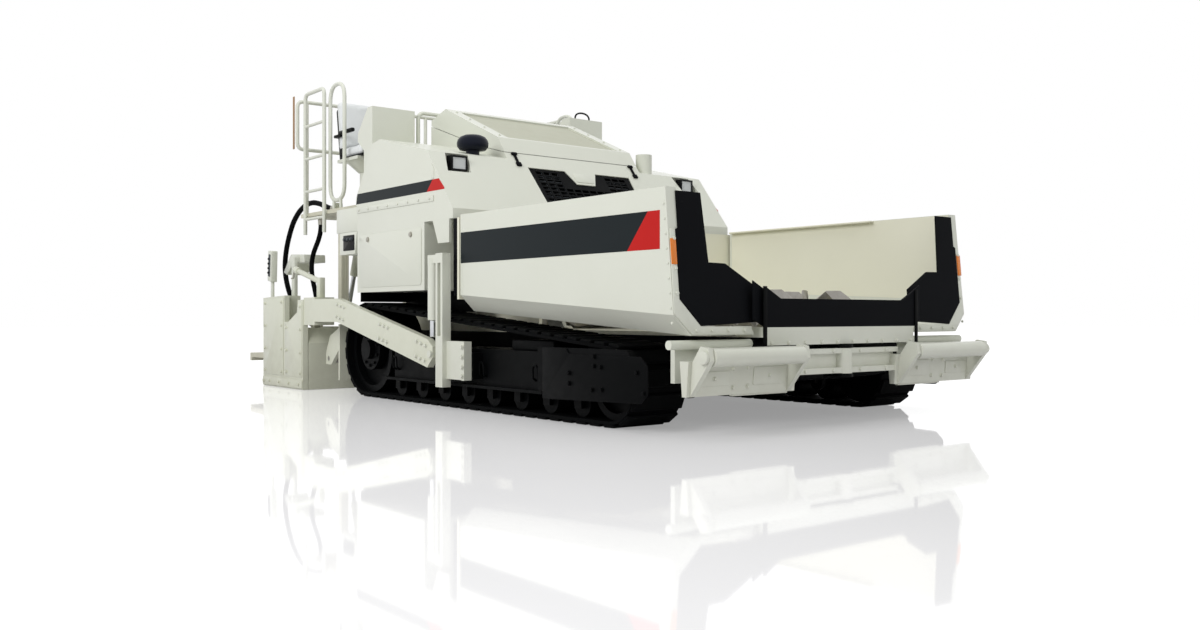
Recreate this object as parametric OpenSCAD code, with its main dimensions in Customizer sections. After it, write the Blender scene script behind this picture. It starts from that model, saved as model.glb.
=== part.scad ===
// Tracked asphalt paver. Millimetres, +X forward, +Y left, +Z up.
// The origin is on the ground under the middle of the machine.
// Stations along the machine are distances behind the hopper's front line.

/* [Hopper] */
// Width over both hopper wings
hopper_w = 3200; // [3120:10:3260]
// Length of a hopper wing
hopper_len = 2480; // [2300:10:2490]
// Height of the wings' top edge
hopper_top = 1590; // [1480:10:1640]
// Height of a wing's lower edge at its front
wing_low = 640; // [630:2:660]
// Height of a wing's lower edge at its rear
wing_low_rear = 805; // [790:5:840]
// Thickness of a wing's side wall
wing_wall = 90; // [50:5:120]
// Thickness of the floor and bulkhead plates
plate_t = 30; // [20:1:35]
// Height of the chamfer along a wing's lower edge
wing_chamfer = 130; // [90:5:150]
// How far the wing's front edge leans forward at its foot
front_lean = 90; // [60:5:110]
// Thickness of the rubber flaps
flap_t = 12; // [8:1:16]

/* [Wing hinges] */
// Distance of the fold axis from the middle
hinge_y = 843; // [838:1:850]
// Height of the fold axis
hinge_z = 655; // [650:1:660]
// Radius of a hinge knuckle
knuckle_r = 28; // [24:1:30]
// Radius of a hinge pin
hinge_pin_r = 15; // [12:1:18]
// Length of a wing knuckle
knuckle_len = 200; // [120:10:260]

/* [Feed augers] */
// Outer radius of a feed auger
feed_r = 150; // [120:5:158]
// Radius of a feed auger's shaft
feed_shaft_r = 45; // [35:1:60]
// Distance between neighbouring feed augers
feed_gap = 340; // [335:5:350]
// Advance of a feed flight in one turn
feed_pitch = 430; // [380:10:500]

/* [Tracks] */
// Distance from the middle to a track's outer edge
track_out = 1560; // [1545:5:1580]
// Width of a track belt
track_w = 460; // [420:5:480]
// Thickness of a track belt
belt_t = 45; // [35:1:55]
// Outer radius of the belt round the drive wheel
drive_r = 445; // [430:5:455]
// Outer radius of the belt round the front idler
idler_r = 290; // [270:5:300]
// Station of the drive wheel
drive_d = 4260; // [4200:10:4300]
// Station of the front idler
idler_d = 620; // [600:10:700]
// Radius of a bottom roller
roller_r = 98; // [85:1:105]
// Number of bottom rollers under each track frame
roller_count = 8; // [6:1:8]

/* [Chassis] */
// Half of the chassis width
chassis_half = 800; // [790:5:805]
// Height of the chassis' flat top
chassis_top = 620; // [605:5:622]
// Height of the chassis' belly
belly_z = 260; // [230:10:300]
// Station of the chassis' rear end
tail_d = 4950; // [4900:10:4960]
// Height of the feed tunnel's roof
tunnel_top = 1050; // [1030:5:1060]

/* [Cowl and deck] */
// Width over the cowl
cowl_w = 3200; // [3160:10:3220]
// Thickness of the cowl's walls
cowl_wall = 30; // [20:1:40]
// Station of the cowl's front foot
cowl_front = 2600; // [2580:5:2620]
// Station of the cowl's rear end
cowl_rear = 4380; // [4370:5:4400]
// Height of the cowl's underside
cowl_low = 1570; // [1560:5:1580]
// Height of the operator floor
deck_top = 1850; // [1830:5:1860]
// Height of the cowl's front shoulder
shoulder_z = 2180; // [2160:5:2200]
// Half of the hood's width
hood_half = 785; // [740:5:800]
// Station of the deck's rear edge
deck_rear = 5950; // [5850:10:6000]
// Half of the deck's width
deck_half = 1480; // [1460:5:1490]

/* [Push beam] */
// Radius of a push roller
push_r = 60; // [50:1:64]
// Half of the push beam's width
push_half = 1567; // [1540:1:1580]
// How far the rollers reach ahead of the hopper's front line
push_reach = 355; // [345:1:365]
// Height of the rollers' axis
push_z = 507; // [500:1:512]

/* [Spreader augers] */
// Outer radius of a spreader auger
spread_r = 195; // [170:5:200]
// Radius of a spreader auger's shaft
spread_shaft_r = 50; // [40:1:60]
// Station of the spreader augers' axis
spread_d = 5210; // [5190:5:5220]
// Height of the spreader augers' axis
spread_z = 330; // [310:5:340]
// Advance of a spreader flight in one turn
spread_pitch = 360; // [300:10:420]

/* [Screed] */
// Station of the screed's front face
screed_front = 5480; // [5470:5:5500]
// Depth of the main screed
screed_depth = 520; // [480:10:540]
// Half of the main screed's width
screed_half = 1600; // [1590:2:1604]
// Depth of a sliding extension
ext_depth = 450; // [420:10:470]
// Thickness of an end gate
gate_t = 55; // [40:1:60]
// Depth of the rear walkway
walk_depth = 690; // [600:10:720]
// Height of the walkway's tread
walk_z = 360; // [340:5:370]
// Station of the tow point
tow_d = 2770; // [2760:1:2780]
// Height of the tow point
tow_z = 450; // [440:1:460]
// Thickness of a tow arm
arm_t = 60; // [40:1:64]
// Depth of a tow arm's plate
arm_h = 225; // [200:5:240]

/* [Hidden] */
$fn = 64;
eps = 1;
run_gap = 0.3;
seam = 5;

// Colours
cream = "#e4e4da";
hopper_cream = "#dedcc8";
black = "#1c1d20";
steel = "#b9bcc0";
grey = "#6a6d70";
seat_white = "#eef1f2";

// Station to x
walk_end = screed_front + screed_depth + ext_depth + walk_depth;
nose_x = (walk_end - push_reach) / 2;
function sx(d) = nose_x - d;

// Solid with a side outline in [station, height], between two values of y
module side(pts, y0, y1)
    translate([0, y1, 0]) rotate([90, 0, 0]) linear_extrude(y1 - y0)
        polygon([for (p = pts) [sx(p[0]), p[1]]]);
// Solid with a front outline in [y, z], between two stations
module front(pts, d0, d1)
    translate([sx(d1), 0, 0]) rotate([90, 0, 90]) linear_extrude(d1 - d0) polygon(pts);
// Block between two stations, two values of y and two heights
module block(d0, d1, y0, y1, z0, z1)
    translate([sx(d1), y0, z0]) cube([d1 - d0, y1 - y0, z1 - z0]);
// Rods along y, along x and upright
module rod_y(d, z, r, y0, y1)
    translate([sx(d), y0, z]) rotate([-90, 0, 0]) cylinder(r = r, h = y1 - y0);
module rod_x(y, z, r, d0, d1)
    translate([sx(d1), y, z]) rotate([0, 90, 0]) cylinder(r = r, h = d1 - d0);
module rod_z(d, y, r, z0, z1)
    translate([sx(d), y, z0]) cylinder(r = r, h = z1 - z0);
module both_sides() {
    children();
    mirror([0, 1, 0]) children();
}
module right_side() mirror([0, 1, 0]) children();

// Derived sizes of the hopper
hopper_half = hopper_w / 2;
floor_top = chassis_top + plate_t;
floor_half = hinge_y - knuckle_r;
wing_inner = hinge_y + knuckle_r + 3 * seam;
wing_slope = (wing_low_rear - wing_low) / (hopper_len + front_lean);
wing_tilt = atan(wing_slope);
lean_tilt = atan(front_lean / (hopper_top - wing_low));
bulkhead_d = hopper_len + 4 * seam;
knuckle_stations = [150, hopper_len - 430];
function wing_floor_z(d) = wing_low + (d + front_lean) * wing_slope;

// Derived sizes of the tracks
track_in = track_out - track_w;
track_mid = track_out - track_w / 2;
wheel_half = track_w / 2 - 70;
skirt_t = 30;
skirt_in = track_mid - wheel_half - 10 - skirt_t;
skirt_out = track_mid + wheel_half + 10;
roller_first = idler_d + 380;
roller_last = drive_d - 585;
roller_step = (roller_last - roller_first) / (roller_count - 1);
roller_z = belt_t + run_gap + roller_r;
frame_low = 200;
frame_top = 500;
guard_out = track_out + 65;

// Belt outline: the drive and idler rounds as flats, joined by both tangents
belt_run = [sx(idler_d) - sx(drive_d), idler_r - drive_r];
belt_angle = atan2(belt_run[1], belt_run[0]);
belt_spread = acos((drive_r - idler_r) / norm(belt_run));
belt_steps = 16;
function belt_round(centre, r, from, to) = let(step = (to - from) / belt_steps)
    [for (k = [0.5 : belt_steps]) centre + r / cos(step / 2) * [cos(from + k * step), sin(from + k * step)]];
module belt_outline(inset) polygon(concat(
    belt_round([sx(idler_d), idler_r], idler_r - inset, belt_angle - belt_spread, belt_angle + belt_spread),
    belt_round([sx(drive_d), drive_r], drive_r - inset, belt_angle + belt_spread, belt_angle - belt_spread + 360)));

// Derived sizes of the cowl: [station, height] outlines
cowl_lean = 0.79;
function cowl_face(z) = cowl_front + (z - 1655) * cowl_lean;
cowl_foot = deck_top - 40;
cowl_peak_d = cowl_rear - 490;
cowl_peak_z = shoulder_z + 205;
function shoulder(d) = shoulder_z + (d - cowl_face(shoulder_z)) * (cowl_peak_z - shoulder_z)
    / (cowl_peak_d - cowl_face(shoulder_z));
lid_front_z = 2245;
lid_kink = [3460, 2343];
lid_rear_z = 2653;

// Derived sizes of the push beam
push_d = push_r - push_reach;
pivot_d = -130;
nose_d = -10;
pivot_r = 32;

// Tie-down eyes under the chassis
eye_stations = [700, tail_d - 500];
eye_y = 700;
eye_t = 40;
eye_r = 25;
eye_z = belly_z - 40;

// Derived sizes of the screed
ext_front = screed_front + screed_depth + run_gap;
ext_rear = screed_front + screed_depth + ext_depth;
gate_in = screed_half + seam;
gate_out = gate_in + gate_t;
arm_in = track_out + 90;
arm_out = arm_in + arm_t;
lift_y = 1120;
lift_top = [5250, 1640];
lift_eye = [5600, 700];
lift_pin_r = 22;

// One flight wound round a shaft, along z from 0
module flight(outer_r, shaft_r, length, pitch, hand, steps) {
    linear_extrude(length, twist = -hand * 360 * length / pitch,
        slices = ceil(steps * length / pitch), segments = 0) {
        circle(shaft_r, $fn = 8);
        translate([0, -8]) square([outer_r, 16]);
    }
}

// Chassis: belly tub, cross plate at the front, step tubes and the push beam's pivot
module main_frame() color(cream) {
    side([[nose_d, belly_z + 100], [nose_d, chassis_top], [tail_d, chassis_top], [tail_d, belly_z + 160],
        [tail_d - 350, belly_z], [500, belly_z], [200, belly_z + 40]], -chassis_half, chassis_half);
    both_sides() for (d = eye_stations) difference() {
        union() {
            block(d - 60, d + 60, eye_y, eye_y + eye_t, eye_z, belly_z + eps);
            rod_y(d, eye_z, 60, eye_y, eye_y + eye_t);
        }
        rod_y(d, eye_z, eye_r, eye_y - eps, eye_y + eye_t + eps);
    }
    both_sides() {
        block(40, 80, chassis_half - eps, track_out - 80, 330, chassis_top - 20);
        block(-40, 40 + eps, track_out - 200, track_out - 160, 560, chassis_top - 30);
        block(-40, 40 + eps, chassis_half + 100, chassis_half + 140, 560, chassis_top - 30);
        rod_y(-30, 580, 30, chassis_half + 60, hopper_half);
    }
    for (z = [belly_z + 70, 540]) {
        block(pivot_d, nose_d + eps, -70, 70, z, z + 20);
        rod_z(pivot_d, 0, 70, z, z + 20);
    }
    rod_z(pivot_d, 0, pivot_r, belly_z + 70, 560);
}

// Track frame on the left: two skirts, a top plate, guard, ledge and carriers
module track_frame() {
    side([[idler_d - 90, idler_r - 60], [idler_d - 90, idler_r + 60], [idler_d + 330, frame_top],
        [roller_last + 60, frame_top], [drive_d + 120, drive_r + 90], [drive_d + 120, drive_r - 90],
        [roller_last + 60, frame_low], [idler_d + 330, frame_low]], skirt_in, skirt_in + skirt_t);
    side([[idler_d + 330, frame_low], [idler_d + 330, frame_top], [roller_last + 60, frame_top],
        [roller_last + 60, frame_low]], skirt_out, skirt_out + skirt_t);
    block(idler_d + 330, roller_last + 60, skirt_in, skirt_out + skirt_t, frame_top - 30, frame_top);
    // Front guard outside the belt, with its carrier through to the skirt
    side([[idler_d - 340, 230], [idler_d - 340, 470], [idler_d - 270, 540], [idler_d + 740, 540],
        [idler_d + 740, 220], [idler_d - 270, 220]], track_out + 15, guard_out);
    block(idler_d + 400, idler_d + 740, skirt_out + skirt_t - eps, track_out + 16, 230, 480);
    // Ledge along the skirt's foot
    side([[idler_d + 740 - eps, frame_low - 10], [idler_d + 740 - eps, frame_low + 12],
        [roller_last + 200, frame_low + 12], [roller_last + 200, frame_low - 10]],
        skirt_out + skirt_t - eps, track_out + 30);
    // Ears that hold the bottom rollers' axles
    for (i = [0 : roller_count - 1], y = [skirt_in, skirt_out])
        block(roller_first + i * roller_step - 40, roller_first + i * roller_step + 40, y, y + skirt_t,
            roller_z - 35, frame_low + eps);
    // Pad that the tow post is bolted to
    block(2250, 2600, skirt_out + skirt_t - eps, guard_out, 260, 470);
    // Carriers from the chassis
    for (d = [idler_d + 700, drive_d - 900])
        block(d, d + 300, chassis_half, skirt_in + eps, belly_z + 40, frame_top - 40);
}
module track_frames() color(black) both_sides() track_frame();

// Drive wheel with hub, idler, bottom rollers and their axles on the left
module track_wheel_set() {
    difference() {
        rod_y(drive_d, drive_r, drive_r - belt_t - run_gap, skirt_in + skirt_t, track_mid + wheel_half);
        rod_y(drive_d, drive_r, drive_r - belt_t - 60, track_mid + wheel_half - 70, track_out);
    }
    rod_y(drive_d, drive_r, 190, track_mid, track_mid + wheel_half + 20);
    rod_y(drive_d, drive_r, 90, track_mid, track_out);
    difference() {
        rod_y(idler_d, idler_r, idler_r - belt_t - run_gap, skirt_in + skirt_t, track_mid + wheel_half);
        rod_y(idler_d, idler_r, idler_r - belt_t - 50, track_mid + wheel_half - 50, track_out);
    }
    rod_y(idler_d, idler_r, 70, track_mid, track_out + 15);
    for (i = [0 : roller_count - 1]) {
        d = roller_first + i * roller_step;
        rod_y(d, roller_z, roller_r, track_mid - wheel_half, track_mid + wheel_half);
        rod_y(d, roller_z, 30, skirt_in + skirt_t, skirt_out);
    }
}
module track_wheels() color(black) both_sides() track_wheel_set();

module track_belts() color(black) both_sides()
    translate([0, track_out, 0]) rotate([90, 0, 0]) linear_extrude(track_w) difference() {
        belt_outline(0);
        belt_outline(belt_t);
    }

// Hopper floor with the fixed hinge ears and pins
module hopper_floor() color(hopper_cream) {
    block(0, bulkhead_d, -floor_half, floor_half, chassis_top, floor_top);
    both_sides() for (d = knuckle_stations) {
        for (e = [d - seam - 45, d + knuckle_len + seam]) {
            rod_x(hinge_y, hinge_z, knuckle_r, e, e + 45);
            block(e, e + 45, floor_half - eps, hinge_y, chassis_top, floor_top);
        }
        rod_x(hinge_y, hinge_z, hinge_pin_r, d - seam - 45, d + knuckle_len + seam + 45);
    }
    // Front bearings of the feed augers
    for (slot = feed_slots) difference() {
        union() {
            block(feed_start - bearing_gap - bearing_t, feed_start - bearing_gap,
                slot * feed_gap - bearing_r, slot * feed_gap + bearing_r, floor_top - eps, feed_z);
            rod_x(slot * feed_gap, feed_z, bearing_r, feed_start - bearing_gap - bearing_t, feed_start - bearing_gap);
        }
        rod_x(slot * feed_gap, feed_z, journal_r + run_gap, 0, feed_start);
    }
}

// Left wing: floor, chamfer and side wall, cut to the side outline, with its knuckles
module wing() {
    back = hopper_len + front_lean;
    intersection() {
        translate([sx(-front_lean), 0, wing_low]) rotate([0, wing_tilt, 0]) rotate([90, 0, -90])
            mirror([1, 0, 0])
            linear_extrude(back * 1.05) polygon([[wing_inner, 0], [hopper_half - wing_chamfer, 0],
                [hopper_half, wing_chamfer], [hopper_half, hopper_top],
                [hopper_half - wing_wall, hopper_top], [hopper_half - wing_wall, wing_chamfer + 40],
                [hopper_half - wing_wall - wing_chamfer, plate_t], [wing_inner, plate_t]]);
        side([[-front_lean, wing_low], [0, hopper_top], [hopper_len, hopper_top], [hopper_len, 0],
            [-front_lean, 0]], 0, hopper_half + eps);
    }
    for (d = knuckle_stations) difference() {
        union() {
            rod_x(hinge_y, hinge_z, knuckle_r, d, d + knuckle_len);
            front([[hinge_y, hinge_z - knuckle_r], [hinge_y + 90, wing_floor_z(d) + 10],
                [wing_inner, wing_floor_z(d + knuckle_len) + 20], [hinge_y, hinge_z + knuckle_r]],
                d, d + knuckle_len);
        }
        rod_x(hinge_y, hinge_z, hinge_pin_r + run_gap, d - eps, d + knuckle_len + eps);
    }
}
module wing_left() color(cream) wing();
module wing_right() color(cream) right_side() wing();

// Rubber flap on the left wing's front edge, leaning with it
module wing_flap() {
    flap_in = hinge_y + 12;
    translate([sx(-front_lean), 0, wing_low]) rotate([0, -lean_tilt, 0]) rotate([90, 0, 90])
        linear_extrude(flap_t) polygon([[flap_in, 85], [hopper_half - 230, 60], [hopper_half - 56, 235],
            [hopper_half - 56, 680], [hopper_half - 80, 690], [hopper_half - 80, 930],
            [hopper_half - 294, 930], [hopper_half - 327, 475], [hopper_half - 479, 472],
            [flap_in, 330]]);
}
module wing_flap_left() color(black) wing_flap();
module wing_flap_right() color(black) right_side() wing_flap();

// Front apron: rubber sheet above a bolted plate with a shelf back to the hopper floor
apron_half = floor_half + 20;
apron_d = -150;
apron_z = 689;
module apron_rubber() color(black)
    front([[-apron_half, apron_z], [apron_half, apron_z], [apron_half, apron_z + 275],
        [apron_half - 155, apron_z + 195], [155 - apron_half, apron_z + 195],
        [-apron_half, apron_z + 275]], apron_d, apron_d + flap_t);
module apron_plate() color(cream)
    side([[apron_d, 567], [apron_d, apron_z], [0, apron_z], [0, chassis_top], [apron_d + 25, chassis_top],
        [apron_d + 25, 567]], -floor_half, floor_half);

// Bulkhead behind the wings, with the feed tunnel running back from it
module bulkhead() color(hopper_cream) {
    inner = chassis_half - plate_t;
    difference() {
        front([[-cowl_w / 2, 900], [-chassis_half, 900], [-chassis_half, chassis_top],
            [chassis_half, chassis_top], [chassis_half, 900], [cowl_w / 2, 900],
            [cowl_w / 2, cowl_low], [-cowl_w / 2, cowl_low]], bulkhead_d, bulkhead_d + plate_t);
        block(bulkhead_d - eps, bulkhead_d + plate_t + eps, -inner, inner, chassis_top - eps,
            tunnel_top - plate_t);
    }
    difference() {
        block(bulkhead_d + plate_t - eps, tail_d, -chassis_half, chassis_half, chassis_top, tunnel_top);
        block(bulkhead_d, tail_d + eps, -inner, inner, floor_top, tunnel_top - plate_t);
    }
    // Rear bearing bar of the feed augers
    difference() {
        block(feed_end + bearing_gap, feed_end + bearing_gap + bearing_t, -inner - eps, inner + eps,
            feed_z - bearing_r, feed_z + bearing_r);
        for (slot = feed_slots) rod_x(slot * feed_gap, feed_z, journal_r + run_gap, feed_end, tail_d);
    }
}

// Feed augers: two pairs along the hopper and the tunnel
feed_z = floor_top + 20 + feed_r;
feed_start = 130;
feed_end = tail_d - 65;
feed_slots = [-1.5, -0.5, 0.5, 1.5];
journal_r = 28;
bearing_r = 60;
bearing_t = 40;
bearing_gap = 15;
module feed_auger(slot, hand) color(steel) {
    reach = bearing_gap + bearing_t + 5;
    translate([sx(feed_end), slot * feed_gap, feed_z]) rotate([0, 90, 0])
        flight(feed_r, feed_shaft_r, feed_end - feed_start, feed_pitch, hand, 8);
    rod_x(slot * feed_gap, feed_z, journal_r, feed_start - reach, feed_start + eps);
    rod_x(slot * feed_gap, feed_z, journal_r, feed_end - eps, feed_end + reach);
}
module feed_auger_outer_right() feed_auger(-1.5, 1);
module feed_auger_inner_right() feed_auger(-0.5, -1);
module feed_auger_inner_left() feed_auger(0.5, 1);
module feed_auger_outer_left() feed_auger(1.5, -1);

module engine_block() color(grey)
    block(cowl_front + 500, cowl_rear - 200, -430, 430, tunnel_top, tunnel_top + 880);

// Engine bay walls on the tunnel and the cowl's lower ring
module cowl_base() color(cream) {
    half = cowl_w / 2;
    bay = 1000;
    difference() {
        side([[cowl_front, cowl_low], [cowl_front, 1655], [cowl_face(cowl_foot), cowl_foot],
            [cowl_rear - 20, cowl_foot], [cowl_rear - 20, cowl_low]], -half, half);
        side([[cowl_front + cowl_wall, cowl_low + 25], [cowl_front + cowl_wall, 1655],
            [cowl_face(cowl_foot + 2) + 1.3 * cowl_wall, cowl_foot + 2],
            [cowl_rear - 20 - cowl_wall, cowl_foot + 2], [cowl_rear - 20 - cowl_wall, cowl_low + 25]],
            cowl_wall - half, half - cowl_wall);
        block(cowl_front + cowl_wall, cowl_rear - 20 - cowl_wall, cowl_wall - bay, bay - cowl_wall,
            cowl_low - eps, cowl_low + 30);
        grille_place(-60) linear_extrude(120) grille_outline();
    }
    difference() {
        block(cowl_front, cowl_rear - 20, -bay, bay, tunnel_top, cowl_low + eps);
        block(cowl_front + cowl_wall, cowl_rear - 20 - cowl_wall, cowl_wall - bay, bay - cowl_wall,
            tunnel_top - eps, cowl_low + 2);
    }
    // Gussets at the front corners
    both_sides() side([[cowl_front + 60, cowl_low + eps], [cowl_front + 330, cowl_low + eps],
        [cowl_front + 240, cowl_low - 195], [cowl_front + 60, cowl_low - 195]], half - 25, half);
}

// Cowl: side to side shell and the raised middle that the hood closes
module cowl() color(cream) {
    half = cowl_w / 2;
    w = cowl_wall;
    inner_half = hood_half - w;
    lid_face = cowl_face(lid_front_z);
    difference() {
        union() {
            side([[cowl_face(cowl_foot), cowl_foot], [cowl_face(shoulder_z), shoulder_z],
                [cowl_peak_d, cowl_peak_z], [cowl_peak_d + 160, cowl_peak_z - 25],
                [cowl_rear, cowl_foot + 75], [cowl_rear, cowl_foot]], -half, half);
            side([[cowl_face(shoulder_z - 60), shoulder_z - 60], [lid_face, lid_front_z], lid_kink,
                [cowl_rear, lid_rear_z], [cowl_rear, cowl_foot]], -hood_half, hood_half);
        }
        difference() {
            side([[cowl_face(cowl_foot - 2) + 1.3 * w, cowl_foot - 2],
                [cowl_face(shoulder_z) + 0.7 * w, shoulder_z - w], [cowl_peak_d, cowl_peak_z - w],
                [cowl_peak_d + 160 - 0.7 * w, cowl_peak_z - 25 - w],
                [cowl_rear - 1.3 * w, cowl_foot + 75], [cowl_rear - 1.3 * w, cowl_foot - 2]],
                w - half, half - w);
            lamp_pockets(60);
        }
        side([[cowl_face(cowl_foot - 2) + 1.3 * w, cowl_foot - 2],
            [cowl_face(lid_front_z + 200) + 1.3 * w, lid_front_z + 200], [cowl_rear - w, lid_rear_z + 200],
            [cowl_rear - w, cowl_foot - 2]], -inner_half, inner_half);
        grille_place(-60) linear_extrude(120) grille_outline();
        lamp_pockets(0);
    }
    // Fixed knuckles and pins of the hood hinge
    for (y = hood_knuckles) {
        for (e = [y - 105, y + 65]) {
            rod_y(hood_hinge[0], hood_hinge[1], hood_knuckle_r, e, e + 40);
            block(cowl_rear - eps, hood_hinge[0] + 8, e, e + 40, lid_rear_z - 60, hood_hinge[1]);
        }
        rod_y(hood_hinge[0], hood_hinge[1], hood_pin_r, y - 105, y + 105);
    }
}

// Grille outline on the leaning front face: [y, distance up the face]
grille_half = 600;
grille_low = 1735;
grille_h = 480;
notch_top = 180;
notch_low = 105;
notch_h = 160;
face_tilt = atan(cowl_lean);
module grille_place(lift)
    translate([sx(cowl_face(grille_low)), 0, grille_low]) rotate([0, -face_tilt, 0])
        translate([lift, 0, 0]) rotate([90, 0, 90]) children();
module grille_outline()
    polygon([[-grille_half + 30, 0], [grille_half - 30, 0], [grille_half, grille_h],
        [notch_top, grille_h], [notch_low, grille_h - notch_h], [-notch_low, grille_h - notch_h],
        [-notch_top, grille_h], [-grille_half, grille_h]]);
module grille() color(black) {
    rows = 9;
    cols = 12;
    rim = 24;
    grille_place(-cowl_wall + 6) linear_extrude(16) difference() {
        intersection() {
            grille_outline();
            translate([-grille_half, 0.5]) square([2 * grille_half, grille_h - 1]);
        }
        for (r = [0 : rows - 1], c = [0 : cols - 1]) {
            y = (c - cols / 2) * 2 * (grille_half - rim - 40) / cols;
            s = rim + r * (grille_h - 2 * rim) / rows;
            clear_of_notch = s < grille_h - notch_h - 60 || abs(y + 45) > notch_top + 80;
            if (clear_of_notch) translate([y + 8, s + 6]) square([74, 34]);
        }
    }
}

// Headlamp pockets: slanted blocks behind the face, grown by a wall
lamp_y = 1345;
lamp_z = 2086;
module lamp_pockets(wall) both_sides()
    translate([sx(cowl_face(lamp_z)), lamp_y, lamp_z]) rotate([0, -face_tilt, 0])
        rotate([90, 0, 90]) translate([0, 0, -110 - wall / 2]) linear_extrude(wall > 0 ? 110 : 220)
            polygon([[-140 - wall / 2, 110 + wall / 2], [90 + wall / 2, 110 + wall / 2],
                [140 + wall / 2, -110 - wall / 2], [-90 - wall / 2, -110 - wall / 2]]);
pocket_back = 110 * norm([1, cowl_lean]) - run_gap;
module headlamps() color(black) both_sides() difference() {
    union() {
        block(cowl_face(lamp_z) - 20, cowl_face(lamp_z) + 62, lamp_y - 85, lamp_y + 75, lamp_z - 70, lamp_z + 60);
        rod_x(lamp_y, lamp_z - 25, 25, cowl_face(lamp_z) + 60, cowl_face(lamp_z) + 200);
    }
    block(cowl_face(lamp_z) - 21, cowl_face(lamp_z) + 10, lamp_y - 70, lamp_y + 60, lamp_z - 55, lamp_z + 45);
    side([[cowl_face(lamp_z - 80) + pocket_back, lamp_z - 80], [cowl_face(lamp_z + 80) + pocket_back, lamp_z + 80],
        [cowl_face(lamp_z) + 300, lamp_z + 80], [cowl_face(lamp_z) + 300, lamp_z - 80]], lamp_y - 80, lamp_y + 80);
}
module lamp_lenses() color("#dfe6ea") both_sides()
    block(cowl_face(lamp_z) - 10, cowl_face(lamp_z) + 10, lamp_y - 70, lamp_y + 60, lamp_z - 55, lamp_z + 45);

// Hood lid: hollow wedge with a sunk panel, hinged along its rear edge
hood_hinge = [cowl_rear + 14, lid_rear_z + 12];
hood_pin_r = 8;
hood_knuckle_r = 14;
hood_knuckles = [-520, 520];
lid_nose = [3170, 2396];
lid_crown = [4100, 2790];
module hood_lid() color(cream) {
    w = cowl_wall;
    top_tilt = atan((lid_crown[1] - lid_nose[1]) / (lid_crown[0] - lid_nose[0]));
    difference() {
        side([[cowl_face(lid_front_z), lid_front_z + seam], lid_nose, lid_crown,
            [cowl_rear - 5, lid_rear_z + 60], [cowl_rear - 5, lid_rear_z + seam],
            lid_kink + [0, seam]], -hood_half, hood_half);
        side([[cowl_face(lid_front_z) + 1.3 * w, lid_front_z - 20], lid_nose + [0.7 * w, -w],
            lid_crown + [0, -w - 20], [cowl_rear - 5 - w, lid_rear_z + 60 - w],
            [cowl_rear - 5 - w, lid_rear_z - 40], lid_kink + [0, -60]], w - hood_half, hood_half - w);
        translate([sx(lid_nose[0]), 0, lid_nose[1]]) rotate([0, top_tilt, 0])
            translate([-930, -hood_half + 125, -20]) cube([900, 2 * (hood_half - 125), 60]);
    }
    for (y = hood_knuckles) difference() {
        union() {
            rod_y(hood_hinge[0], hood_hinge[1], hood_knuckle_r, y - 60, y + 60);
            block(cowl_rear - 5 - eps, hood_hinge[0], y - 60, y + 60, hood_hinge[1], hood_hinge[1] + hood_knuckle_r);
        }
        rod_y(hood_hinge[0], hood_hinge[1], hood_pin_r + run_gap, y - 61, y + 61);
    }
}

// Exhaust stack and air pre-cleaner, seated on the sloping shoulders
module above_cowl() difference() {
    children();
    side([[cowl_face(shoulder_z), shoulder_z], [cowl_peak_d, cowl_peak_z], [cowl_peak_d, 1900],
        [cowl_face(shoulder_z), 1900]], -2000, 2000);
}
module exhaust_stack() color(cream) above_cowl() difference() {
    rod_z(3140, 950, 82, 2100, 2385);
    rod_z(3140, 950, 70, 2240, 2400);
}
module air_precleaner() color(black) above_cowl()
    translate([sx(3160), -1060, 2130]) rotate_extrude()
        polygon([[0, 0], [60, 0], [60, 150], [125, 158], [135, 200], [118, 238], [60, 252], [0, 252]]);

tank_low = 985;
tank_w = 500;
leg_out = 1400;
module side_tanks() color(cream) both_sides()
    block(cowl_front + 470, cowl_rear - 30, cowl_w / 2 - tank_w, cowl_w / 2, tank_low, cowl_low);

// Operator deck with its toe edge and the posts that hang below it
module operator_deck() color(cream) {
    block(cowl_rear + run_gap, deck_rear, -deck_half, deck_half, deck_top - 40, deck_top);
    both_sides() block(5250, 5330, 1260, 1340, 900, deck_top - 39);
}

// Housing behind the engine bay that carries the deck
module tail_housing() color(cream) {
    side([[cowl_rear - 20, tunnel_top], [cowl_rear - 20, deck_top - 40], [5180, deck_top - 40],
        [5180, 1500], [tail_d, tunnel_top]], -chassis_half, chassis_half);
    both_sides() {
        block(cowl_rear + 20, cowl_rear + 190, chassis_half - eps, leg_out, tunnel_top, deck_top - 40);
        block(cowl_rear + 20, cowl_rear + 190, chassis_half + run_gap, leg_out, tank_low, tunnel_top + eps);
        block(5180 - eps, lift_top[0] + 40, lift_y - 90, lift_y - 55, lift_top[1] - 60, deck_top - 40);
        block(5100, 5180, chassis_half - eps, lift_y - 55, lift_top[1] - 60, deck_top - 40);
        rod_y(lift_top[0], lift_top[1], lift_pin_r, lift_y - 56, lift_y + 30);
    }
}

module consoles() color(cream) {
    side([[cowl_rear + 20, deck_top], [cowl_rear + 20, 2790], [cowl_rear + 120, 2790],
        [cowl_rear + 330, 2560], [cowl_rear + 330, 2480], [cowl_rear + 200, 2380], [cowl_rear + 200, deck_top]],
        -1420, -960);
    side([[cowl_rear + 20, deck_top], [cowl_rear + 20, 2950], [cowl_rear + 160, 2950],
        [cowl_rear + 330, 2640], [cowl_rear + 330, 2480], [cowl_rear + 200, 2380], [cowl_rear + 200, deck_top]],
        960, 1420);
}

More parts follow.
